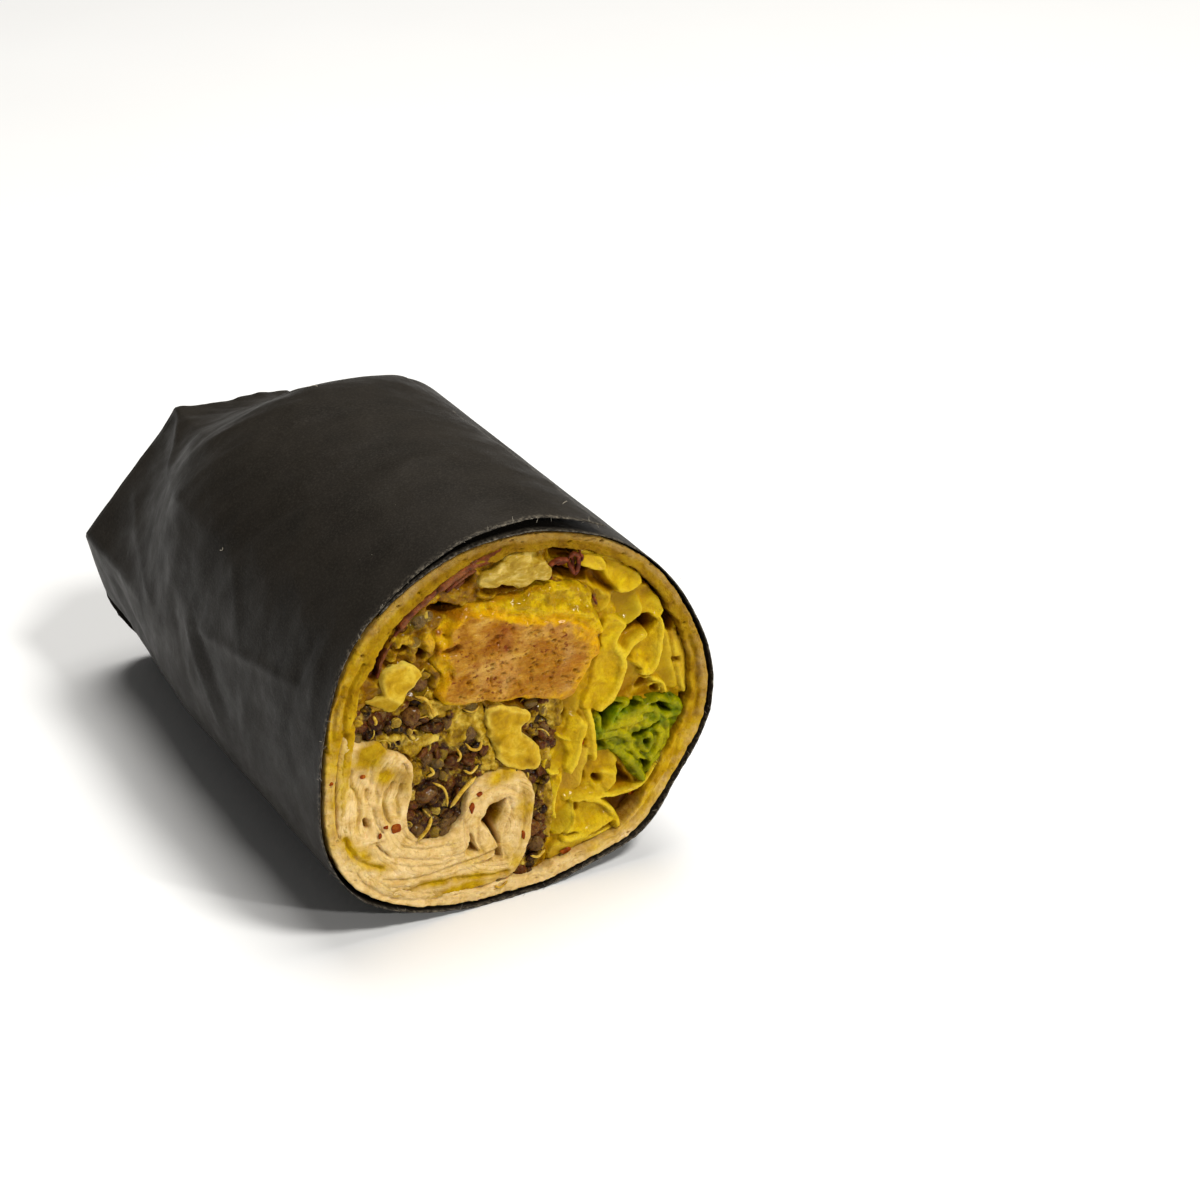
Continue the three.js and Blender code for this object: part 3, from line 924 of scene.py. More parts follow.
def paper_sheet():
    """The long sheet: wound round the roll, crumpled, torn at the cut and closed at the far end."""
    rows = np.concatenate([MOUTH_ROWS, np.arange(2, LENGTH - 2.2, 1 / PAPER_ROWS_PER_MM), [LENGTH - 1.4]])
    turned = np.linspace(0, PAPER_TURN, PAPER_COLUMNS)
    grid = (len(rows), PAPER_COLUMNS)
    d, t = (part.ravel() for part in np.meshgrid(rows, turned, indexing="ij"))
    angle = FREE_EDGE + t
    ragged = ripples(from_polar(angle, PAPER_RADIUS, t * 0), (0.35, 5.0, 21), (0.16, 0.9, 22)) - 0.2
    back = d + ragged * (1 - smoothstep(d, 0, 6))
    relief = paper_relief(angle, back) * (1 - smoothstep(t, *UNDER_START) * 0.8)
    relief = relief * (1 - smoothstep(-np.sin(np.radians(angle)), 0.8, 0.97))  # flat where it rests
    outside = radius_at(angle, back, paper_offset(t, back)) + proud(relief)
    end = closed_end(turned, outside.reshape(grid)[-1])
    outer = np.concatenate([from_polar(angle, outside, back).reshape(*grid, 3), end])
    inner = from_polar(angle, outside - SHEET_OF_PAPER, back).reshape(*grid, 3)
    inner = np.concatenate([inner, end - (0, 0, SHEET_OF_PAPER)])
    inner[0, :, 2] += 0.02
    torn = np.zeros(outer.shape[:2])
    torn[: len(MOUTH_TORN)] = np.array(MOUTH_TORN)[:, None]
    torn[: len(rows) // 2, 0] = 0.9
    return two_sided(outer, inner, torn=np.tile(torn.ravel(), 2))


def paper_flaps():
    """Flaps folded over the far end, one on another."""
    flaps = []
    for index, outline in enumerate(FLAPS):
        level = LENGTH - 0.1 + 0.32 * index
        flap = leaf(outline, level, (0.004, -0.006), -0.25, 0.2, 0.3, 60 + index, around=120, rings=30)
        flap.points[:, 2] += 0.18 * layered(flat3(flap.points), (9, 5, 5), 70 + index)
        flaps.append(Shape(flap.points, flap.faces, torn=np.clip(flap.values["rim"] - 0.93, 0, 1) * 2))
    return Shape.joined(flaps)


def paper_lint():
    """Torn fibres along the cut edge of the paper, and a few stray ones on top."""
    random = np.random.default_rng(5)
    threads = []

    def thread(angle, back, radius, length, curl, thin):
        way = random.normal(size=3) * (1, 1, 0.6)
        way /= np.linalg.norm(way)
        bend = random.normal(size=3) * curl
        t = np.linspace(0, 1, 9)[:, None]
        threads.append(tube(from_polar(angle, radius, back) + way * length * t + bend * t * t, thin, 5))

    for _ in range(90):
        angle = random.uniform(FREE_EDGE, FREE_EDGE + 330)
        radius = radius_at(angle, 0.0) + paper_offset(angle - FREE_EDGE, 0.0)
        back, length, thin = random.uniform((-0.5, 0.2, 0.015), (0.2, 0.7, 0.035))
        thread(angle, back, radius, length, 0.3, thin)
    for angle, back, length in STRAY_LINT:
        surface = radius_at(angle, back, paper_offset(angle - FREE_EDGE, back))
        relief = paper_relief(np.array([angle]), np.array([back]))[0]
        thread(angle, back, surface + proud(relief) + 0.05, length, 0.5, 0.06)
    return Shape.joined(threads)


# ---- tortilla

RING_COLUMNS = 860
RING_ROWS = 34  # of points across the cut ring
OUTSIDE_STATIONS = (85, 76, 66, 54, 36, 18, 8)  # distances back at which the walls have points
INSIDE_STATIONS = (1.6, 3, 8, 20, 54, 76, 85, LENGTH - FOOD_END)
PORES = [
    (-17.8, 55.2), (-23.7, 49), (-19.5, 51.3), (-0.1, 61.2), (4, 61.3), (9.3, 58.7), (-23.6, 43.2),
    (28.4, 40.9), (-28.6, 20.2), (27.5, 34.6), (22.6, 52), (14.5, 57.6), (-29.6, 35), (19, 7.4),
    (-14.6, 56.4),
]
# Lines between the layers: half width, depth, path.
RING_GROOVES = [
    (0.45, 0.5, [(-21.6, 49.2), (-18.4, 51.7), (-14.6, 54.2), (-10, 57), (-5, 59.2), (-1, 60.4)]),
    (0.4, 0.9, [(-22.2, 45.2), (-23.6, 43.6), (-24.2, 40.6), (-25.3, 38)]),
    (0.3, 0.7, [(-23.4, 47.4), (-25.2, 44.6), (-26.4, 41), (-27, 37.4)]),
    (0.3, 0.5, [(-26.6, 44.6), (-28, 41), (-28.6, 37)]),
    (0.35, 0.8, [(-26.6, 37), (-27.6, 33), (-28.2, 29), (-28.4, 24), (-28, 20.6)]),
    (0.5, 1, [(-27.3, 20.3), (-26.6, 18), (-25.2, 15.9), (-22.4, 13.9)]),
    (0.35, 0.35, [(-25, 12.2), (-21.6, 8.8), (-17.6, 6.8), (-13, 5.8)]),
    (0.35, 0.4, [(27.6, 22), (26.6, 17.8), (23.6, 13.4), (19.6, 9.2)]),
    (0.4, 0.5, [(29.4, 38.2), (30.6, 34), (30.8, 29), (30.2, 24.6)]),
]


def ring_yellow(angle, share):
    """How much yellow the sauce has left in the cut ring, from its outside (0) to its inside (1)."""
    outer = swollen(0.3, angle, [(165, 40, 0.6), (60, 50, 0.12), (335, 50, 0.4)])
    inner = swollen(0.5, angle, [(150, 60, 0.6), (58, 60, 0.5), (330, 50, 0.45)])
    dry = swell(angle, (250, 50, 0.6))
    return blend(outer, inner, smoothstep(share, 0.25, 0.6)) - dry


def ring_pores(angle, outer, wall):
    """The large pores of the cut ring, and small ones scattered over it."""
    random = np.random.default_rng(11)
    pores = [(x, z, 0.3, 0.18, 0.7) for x, z in PORES]
    for _ in range(80):
        at, level = random.uniform(0, 360), random.uniform(0.1, 0.9)
        column = int(at / 360 * RING_COLUMNS)
        x, z = from_polar(angle[column], outer[column] - wall[column] * level, 0.0)[:2]
        pores.append((x, z, random.uniform(0.12, 0.5), random.uniform(0.08, 0.2), random.uniform(0.12, 0.4)))
    return pores


def cut_ring(angle, outer, wall, shares):
    """Rows of points over the bread-like cut, with its pores and the lines between its layers."""
    rows = np.stack([from_polar(angle, outer - wall * share, 0 * angle) for share in shares])
    points = rows.reshape(-1, 3)
    depth = ripples(points, (0.24, 9, 44), (0.2, 3.0, 45), (0.16, 1.1, 46), (0.1, 0.5, 47))
    depth += rounded((np.minimum(shares, 1 - shares)[:, None] * wall).ravel(), 0.35, 0.35)
    depth += dents(points, ring_pores(angle, outer, wall))
    line = noise(points, 5, 48) * 0.4
    for width, deep, path in RING_GROOVES:
        depth += deep * ridge(near_path(points[:, :2], path) + 0.1 * line, width)
    rows[..., 2] = depth.reshape(rows.shape[:2])
    return rows


def tortilla_roll():
    """The rolled sheet: its outside from the far end to the cut, the cut ring, and its inside back again."""
    angle = np.linspace(0, 360, RING_COLUMNS, endpoint=False)
    spot = from_polar(angle, 28, 0 * angle)
    outer = radius_at(angle, 0 * angle) + ripples(spot, (0.12, 2.2, 41), (0.1, 0.7, 40)) - 0.08
    wall = inner_wall(angle) + ripples(spot, (0.35, 5.0, 42), (0.3, 1.7, 43), (0.12, 0.6, 39))
    end = LENGTH - TORTILLA_END
    outside = [(end, 14), (end, 1.4), (end - 1.4, 0), *((back, 0) for back in OUTSIDE_STATIONS)]
    rows = [
        from_polar(angle, radius_at(angle, back) - inset - (0.1 if back > 9 else 0), back)
        for back, inset in outside
    ]
    rows += [from_polar(angle, outer, back) for back in (4, 2, 1.2)]
    shares = np.linspace(0, 1, RING_ROWS)
    before = len(rows)
    rows += list(cut_ring(angle, outer, wall, shares))
    rows += [from_polar(angle, (outer - wall) * narrowing(angle, back), back) for back in INSIDE_STATIONS]
    rows.append(from_polar(angle, 6.0, LENGTH - FOOD_END))
    rings = np.stack(rows)
    behind = len(rows) - before - RING_ROWS
    around = np.tile(angle, len(rows))
    level = np.repeat([*np.zeros(before), *shares, *np.ones(behind)], RING_COLUMNS)
    skin = np.repeat([*np.ones(before), 0.35, *np.zeros(len(rows) - before - 1)], RING_COLUMNS)
    # how far back the cut ring lies, which its painted shade follows
    deep = np.clip(rings[..., 2].ravel() * 1.3 - 0.2, 0, 1.8)
    # painted shade, partly soaked-in sauce: darkest at the top of the ring, where the paper shades it, and
    # darker at the right and the left
    dull = swollen(0, around, [(88, 45, 1.0), (15, 40, 0.7), (150, 40, 0.3)])
    stain = ring_yellow(around, level)
    return capped(rings, skin=skin, stain=stain, depth=deep, dull=dull, layer=2.4 * level)


FOLD_OUTLINE = [
    (-26.9, 36.4), (-28.4, 30), (-28.5, 22), (-27.2, 16.4), (-24, 11), (-19, 7.4), (-13, 5.8),
    (-7, 5.4), (-0.8, 6), (1.4, 8.4), (2.5, 12), (3.2, 16), (3, 20), (1.6, 22.8), (-1.4, 24.2),
    (-5.2, 24), (-7.4, 22.4), (-8.2, 19.8), (-9.2, 17.6), (-11.4, 15.6), (-14.6, 15.8), (-17, 18),
    (-17.3, 21.6), (-16.4, 25), (-16.2, 28.6), (-17.6, 31), (-20, 32.4), (-21.6, 34.4), (-24.6, 34.8),
]
# Edges of the folded layers: half width, depth, yellow stain, and path across the cut.
FOLD_LINES = [
    (0.45, 0.9, 0.9, [(-27.4, 20.2), (-26.8, 18.2), (-25.6, 16.3), (-24, 14.9), (-22, 13.8)]),
    (0.22, 0.5, 0.1, [(-22.6, 17.8), (-20.8, 15.4), (-18, 14), (-14.4, 12.9), (-10.4, 12.2),
     (-8, 12.2)]),
    (0.3, 0.8, 0.3, [(-21.6, 11.6), (-18.4, 10.6), (-14.6, 10.3), (-10.4, 10.5), (-6.4, 10.7),
     (-3.2, 11.2)]),
    (0.35, 0.8, 0.9, [(-19.8, 8.6), (-15.6, 8.7), (-11, 8.4), (-7, 7.7), (-3.4, 7.1), (-1.6, 7)]),
    (0.2, 0.35, 0.1, [(-24.6, 13.4), (-21.4, 10.4), (-17.8, 9.4), (-13.4, 9.2), (-8.4, 9.3),
     (-4.4, 9.6)]),
    (0.2, 0.4, 0.4, [(-26, 12.8), (-22.6, 9.2), (-18.6, 7.4), (-13.6, 6.6)]),
    (0.2, 0.4, 0, [(-20.6, 14.2), (-17.4, 12.6), (-13.6, 11.7), (-9.6, 11.4)]),
    (0.18, 0.45, 0, [(-18.6, 16.6), (-16.2, 15.2), (-13, 14.4), (-10, 14.4)]),
    (0.25, 0.7, 0.2, [(-2.6, 11.5), (-2.8, 9.8), (-5.2, 9.7), (-7, 9.9)]),
    (0.22, 0.5, 0.3, [(-7.9, 12), (-6, 11.6), (-4.4, 10.8), (-3, 10.8)]),
    (0.22, 0.5, 0.1, [(-8.4, 17.8), (-7.9, 15.6), (-8.4, 13.6), (-8.2, 12.2)]),
    (0.22, 0.55, 0.1, [(-5.9, 17.4), (-6.3, 15.2), (-6.1, 13.2), (-5.5, 11.7)]),
    (0.2, 0.45, 0.1, [(-1.2, 19.4), (-0.6, 17.4), (-1.4, 15), (-2.2, 12.8), (-2, 10.4), (-1.6, 9)]),
    (0.25, 0.4, 0.5, [(0.8, 21.2), (1.5, 18), (1.3, 14), (0.4, 10.4), (-1, 8)]),
    (0.2, 0.3, 0.2, [(-7.4, 20.6), (-4.6, 21.6), (-1.6, 21.4), (0.6, 19.6)]),
    (0.3, 0.8, 0.5, [(-26.1, 31), (-26, 28.8), (-25.2, 26.6), (-25, 23.6), (-25.6, 21)]),
    (0.22, 0.9, 0.3, [(-23.6, 26.9), (-23.7, 25.6)]),
    (0.35, 1.1, 0.4, [(-19.6, 27.2), (-20.8, 26.2), (-21.2, 24.2), (-20.8, 22.2), (-20.5, 21)]),
    (0.3, 0.9, 0.3, [(-18.3, 26.6), (-18.9, 25), (-19.1, 23.4), (-19, 21.8)]),
    (0.2, 0.7, 0.2, [(-22.7, 24), (-22.6, 22.4), (-22, 20.6), (-21.4, 19.4)]),
    (0.3, 0.8, 0.2, [(-24, 22.4), (-23.6, 20.8), (-24, 19.6)]),
    (0.18, 0.9, 0.2, [(-18, 30), (-17.4, 29.6), (-17.2, 28.6)]),
    (0.2, 0.5, 0.2, [(-22.4, 31.6), (-23, 29.6), (-22.8, 27.8)]),
    (0.2, 0.5, 0.4, [(-20.4, 30.6), (-21.6, 28.8), (-22.2, 26.4), (-22, 24.8)]),
    (0.2, 0.5, 0.1, [(-18, 20.6), (-18.4, 18.8), (-17.4, 17.2), (-15.6, 15.9)]),
    (0.24, 0.8, 0.2, [(-22.3, 17.6), (-21.7, 16.6), (-20.9, 15.6)]),
    (0.2, 0.6, 0.1, [(-23.6, 18), (-22.4, 18.2), (-21.4, 18)]),
]
# Gaps between the folds: depth, softness of their edge, outline.
FOLD_HOLES = [
    (6.5, 0.7, [(-1.4, 19.4), (-2.6, 19.2), (-4.3, 18.9), (-5, 17.6), (-5.6, 16.6), (-4.9, 15.4),
     (-4, 14), (-3.2, 12.6), (-2.9, 11.4), (-2.5, 12.2), (-3, 13.8), (-3.3, 15.4), (-2.7, 17),
     (-1.9, 18.4)]),
    (3, 0.4, [(-5, 9.9), (-3.6, 10.3), (-2.9, 11.5), (-2.4, 10.6), (-2.6, 9.6), (-3.8, 9.6)]),
    (5, 0.5, [(-7.3, 15.3), (-7.6, 13.8), (-8.1, 12.2), (-7, 11.8), (-6.2, 11.9), (-6.8, 13.5)]),
    (1.6, 0.5, [(-24.4, 22.6), (-23.6, 22.2), (-23.4, 20.8), (-24.2, 20.6)]),
]
# Spots, here and below: right, up, half width, half height, strength.
YELLOW_PATCHES = [
    (-23.4, 32.4, 2.4, 2.2, 1.1), (-20.4, 28.6, 1.8, 1.6, 0.8), (-17.4, 27, 1.2, 2.4, 0.6),
    (-8, 6, 6, 1.6, 0.9), (1.6, 17, 1.6, 5, 0.8), (-2, 23.4, 4, 1.4, 0.7), (-24.8, 16, 1.8, 1.8, 0.8),
    (-27.4, 30, 1.4, 6, 0.7), (-0.4, 8.6, 1.8, 2.4, 0.6), (-3.4, 17, 1.2, 1.6, 0.8),
    (-21.4, 33.6, 3, 1.2, 0.6),
]
FOLD_HOLLOWS = [(-24, 26, 2.4, 7, 0.35), (-4, 15, 3, 4, 0.3)]
# Painted shade over the folds, partly soaked-in sauce.
FOLD_SHADES = [(-23, 32.5, 3.5, 3, 0.45), (-3, 17.5, 1.6, 2.4, 0.8), (-18, 27, 1.4, 3, 0.5)]


def folds_front(points, distance):
    wavy = points + 0.22 * wobble(points, 1.4, 51)
    depth = 0.1 + ripples(points, (0.28, 5.0, 52), (0.2, 1.8, 53), (0.1, 0.8, 54), (0.07, 0.4, 55))
    depth += rounded(distance, 0.6, 0.5) + dents(points, FOLD_HOLLOWS)
    stain = 0.05 + dents(points, YELLOW_PATCHES)
    for width, deep, yellow, path in FOLD_LINES:
        away = near_path(wavy, path)
        depth += deep * 0.62 * ridge(away, 0.65 * width) - 0.08 * ridge(away - 0.7, 0.4)
        stain = np.maximum(stain, yellow * ridge(away, width * 2.2))
    for deep, soft, outline in FOLD_HOLES:
        depth += deep * smoothstep(depth_inside(wavy, outline), -0.1, soft)
    bend = np.hypot(points[:, 0] + 10.5, points[:, 1] - 22)
    arch = np.hypot(points[:, 0] + 2.5, points[:, 1] - 15)
    layer = np.where(points[:, 0] > -8.5, arch + 4, bend)
    # painted shade, partly soaked-in sauce
    dull = dents(points, FOLD_SHADES)
    return {"depth": depth, "stain": stain, "skin": 0 * depth, "dull": dull, "layer": layer}


def tortilla_folds():
    """The folded-in edge at the lower left, pressed layer on layer."""
    made = slab(FOLD_OUTLINE, folds_front, hollow=False, smooth_points=170)
    made.values["depth"] = np.maximum(made.values["depth"] - 0.1, 0)
    return made


# ---- fillings

MEAT = [
    (-9.6, 49.4), (-8, 50.2), (-5.6, 50.6), (-3, 49.8), (0, 48.4), (3, 47.2), (6.4, 46.5), (9.4, 45.8),
    (11.6, 44.2), (13.2, 42), (13.6, 40), (12.8, 38), (11.2, 36), (9.8, 34), (8, 33.5), (5.4, 34.2),
    (2.6, 35), (0.6, 35.6), (-1.8, 35.6), (-5, 36.5), (-8.4, 37), (-10.8, 38), (-11.2, 40.2),
    (-9.6, 42.2), (-9.6, 43.8), (-10.6, 45.4), (-10, 47.4),
]
CHICKEN = [
    (-12.4, 48.6), (-10.2, 51), (-6.6, 52.2), (-2.4, 52.5), (1.6, 52.3), (5, 52.7), (9, 52),
    (12.2, 50.8), (13.3, 49.4), (13.6, 47.6), (14.2, 45.8), (15, 43.2), (14.4, 42), (14.9, 40.4),
    (14.4, 39.4), (13.2, 38.4), (12.4, 36.6), (10.8, 35), (10.3, 33.8), (8.2, 33.2), (5.4, 34),
    (2.4, 34.9), (0.6, 35.4), (-1.8, 35.4), (-5, 36.2), (-8.4, 36.6), (-11.2, 37.4), (-12.4, 40),
    (-11.4, 42), (-12.8, 44.2), (-11.8, 46.4),
]
CURRY_RIDGE = [
    (-8.6, 50.6), (-5, 51.7), (-1.6, 51.2), (2, 50), (6, 48.6), (10, 47.6), (13, 46), (14.4, 43.4),
]
MEAT_PITS = [
    (-9.8, 46, 1.3, 0.45, 1.8), (-9, 46.5, 0.6, 0.4, 1.2), (-0.6, 38.9, 0.2, 0.2, 0.8),
    (-3.7, 39.8, 0.2, 0.65, 0.7), (-7.3, 40.3, 0.25, 0.45, 0.6), (2.7, 38.3, 0.2, 0.6, 0.6),
    (-5.2, 38.6, 0.4, 0.25, 0.5), (0.8, 38, 0.25, 0.5, 0.4), (9.9, 38, 0.5, 0.3, 0.6),
    (-10.3, 48.2, 0.3, 0.25, 0.6), (-9.8, 41.8, 0.3, 0.5, 0.6), (13.4, 48.2, 0.3, 1, 1.2),
]
# Brown patches on the meat and curry, and painted shade along the top edge and round the pits.
BROWN_PATCHES_AND_SHADE = [
    (-2.5, 46, 2.2, 1.9, 0.55), (3.4, 43.8, 1.3, 1.1, 0.4), (-1, 44.2, 0.8, 0.7, 0.5),
    (-5.4, 43, 2.6, 0.3, 0.35), (-9.9, 42, 0.9, 1.1, 0.5), (-11.2, 48.9, 0.6, 0.6, 0.9),
    (-9.6, 46.3, 1.4, 0.7, 0.8), (5, 38.2, 3, 0.5, 0.3), (-9, 51.3, 3, 0.9, 0.85),
    (-2, 52.3, 6, 0.7, 0.7), (14.4, 40.6, 0.6, 2, 0.5), (9.6, 34, 1.6, 0.8, 0.4),
    (-12, 43, 1.3, 6, 0.4), (-12, 46.4, 0.7, 1.2, 0.5), (-1, 47.6, 1.6, 0.8, 0.3),
    (11, 40.6, 1.2, 1.6, 0.25), (7, 37, 2.4, 0.8, 0.25),
]


def meat_pores():
    random = np.random.default_rng(21)
    return [(*random.uniform((-9, 36, 0.1, 0.08), (12, 48, 0.4, 0.2)), 0.5) for _ in range(150)]


def chicken_front(points, distance):
    """Fibrous meat flush with the cut, and lumpy curry round it, thickest along the top."""
    along_fibres = points @ np.array([[0.97, -0.24], [0.24, 0.97]])
    fibres = ripples(along_fibres, (0.13, (3.0, 0.7, 1), 22), (0.08, (1.4, 0.35, 1), 23))
    torn = ripples(points, (0.3, 3.6, 24), (0.18, 1.3, 25), (0.08, 0.5, 26))
    flesh = -0.15 + fibres + 0.7 * torn + dents(points, meat_pores())
    lumps = ripples(points, (0.55, 2.4, 27), (0.32, 1.1, 28), (0.16, 0.55, 20))
    shelf = 1.1 * smoothstep(points[:, 1] - 0.36 * points[:, 0], 50.0, 52.5)
    curry = 0.35 + lumps + shelf - 0.75 * ridge(near_path(points, CURRY_RIDGE), 0.9)
    inside = depth_inside(points, MEAT, 9) + 0.5 * noise(points, 1.6, 29)
    low_right = smoothstep(points[:, 0] - 0.3 * points[:, 1], -8, -2)
    low_stain = low_right * (1 - smoothstep(inside, 0.8, 2.6)) * 0.55
    stain = np.maximum(1 - smoothstep(inside, -0.5, 0.9), low_stain)
    depth = blend(flesh, curry, 1 - smoothstep(inside, -0.8, 0.3)) + dents(points, MEAT_PITS)
    depth += rounded(distance, 0.9, 1.3)
    gold = smoothstep(-inside, 0.2, 3.0)
    return {"depth": depth, "stain": stain, "tint": dents(points, BROWN_PATCHES_AND_SHADE), "gold": gold}


def chicken_chunk():
    made = slab(CHICKEN, chicken_front, smooth_points=170)
    made.values["depth"] = np.maximum(made.values["depth"], 0)
    return made


CUBE = [
    (-22.7, 40.3), (-21.4, 41.1), (-20.3, 41.8), (-20.5, 43.4), (-20.1, 44.7), (-18.6, 45.3),
    (-16.8, 45.7), (-15.4, 44.9), (-14.5, 43.4), (-15.9, 41.7), (-17.5, 40), (-18.3, 38.3),
    (-19.2, 37.9), (-20.6, 38.9), (-21.8, 39.6),
]
CHUNK = [
    (-4.2, 34.2), (-2.4, 35.1), (-0.6, 34.2), (1.4, 33.3), (2.8, 32.4), (2.7, 31.4), (1.6, 30.6),
    (1.6, 29.2), (2.8, 28), (4.2, 26.4), (4.4, 24.4), (3.6, 22.9), (1.4, 23.3), (-1.2, 24.6),
    (-2.6, 26.2), (-3, 28.6), (-4, 30.8),
]
CABBAGE = [
    (-5, 55.4), (-4.6, 56.5), (-2.8, 57), (-1.4, 57.8), (-0.2, 59.6), (1.6, 60.2), (3.4, 58.8),
    (5, 57), (6.4, 55.4), (6.4, 54), (5.6, 53.4), (4, 53.5), (1.8, 53.1), (0.4, 53.8), (-1.2, 54.4),
    (-3.6, 54.2), (-4.6, 54.6),
]
QUINOA = [
    (-26.4, 36.6), (-24, 39.4), (-20.5, 38.6), (-16, 39.4), (-12.4, 38.4), (-9, 37.2), (-5, 36.2),
    (-3.6, 34.6), (-4.2, 31), (-2.8, 27), (-3.4, 24.6), (-7, 23.4), (-8, 20.4), (-9.4, 17),
    (-12, 15.4), (-15.4, 16), (-17.6, 18.4), (-17.8, 22.6), (-16.6, 26), (-16, 29.4), (-18, 31.4),
    (-21.4, 32.2), (-23, 34), (-25.4, 34.2),
]
SEAM = [
    (2.6, 35), (5.6, 34.6), (8.2, 33.6), (8.6, 30.6), (7.8, 27.6), (6.4, 25.2), (6.4, 21), (6.8, 16),
    (6.2, 11), (4.6, 7), (2.2, 4.8), (-3, 4.4), (-7.4, 4.6), (-7, 6.2), (-2.6, 6.9), (0.8, 8.6),
    (1.9, 12), (2.6, 17), (2, 21), (0.2, 23.2), (2.8, 23.4), (4.6, 24.8), (3.2, 28), (1.6, 30),
    (2.6, 32.2),
]
LETTUCE = [
    (7.8, 33), (10.6, 34.6), (13, 38), (14.8, 42), (14.4, 46.4), (12.8, 50), (7, 53), (6.4, 58),
    (12, 58), (19, 54.6), (25, 48.6), (29, 41), (30.6, 33), (30, 25), (28, 18), (23, 11), (17, 7),
    (10, 5.4), (5.2, 5.6), (5.8, 11), (6.2, 17), (5.8, 21), (4.6, 23), (5.4, 25.4), (7.4, 28),
    (8, 30.6),
]
GREEN = [
    (13.6, 28.6), (14.6, 29.8), (18, 30.3), (22, 29.4), (24.8, 29.4), (27, 29), (28.8, 27), (28.2, 24),
    (26.4, 21), (25, 18.8), (23, 16.8), (21.8, 15.4), (20.4, 16.6), (18.4, 19.6), (16.4, 22),
    (14, 22.8), (13.6, 25.4),
]
CURL_BASE = [
    (6.4, 54.4), (6.8, 56.6), (9.5, 57.4), (11.8, 56.6), (12, 54.6), (10, 53), (7.6, 53.2),
]

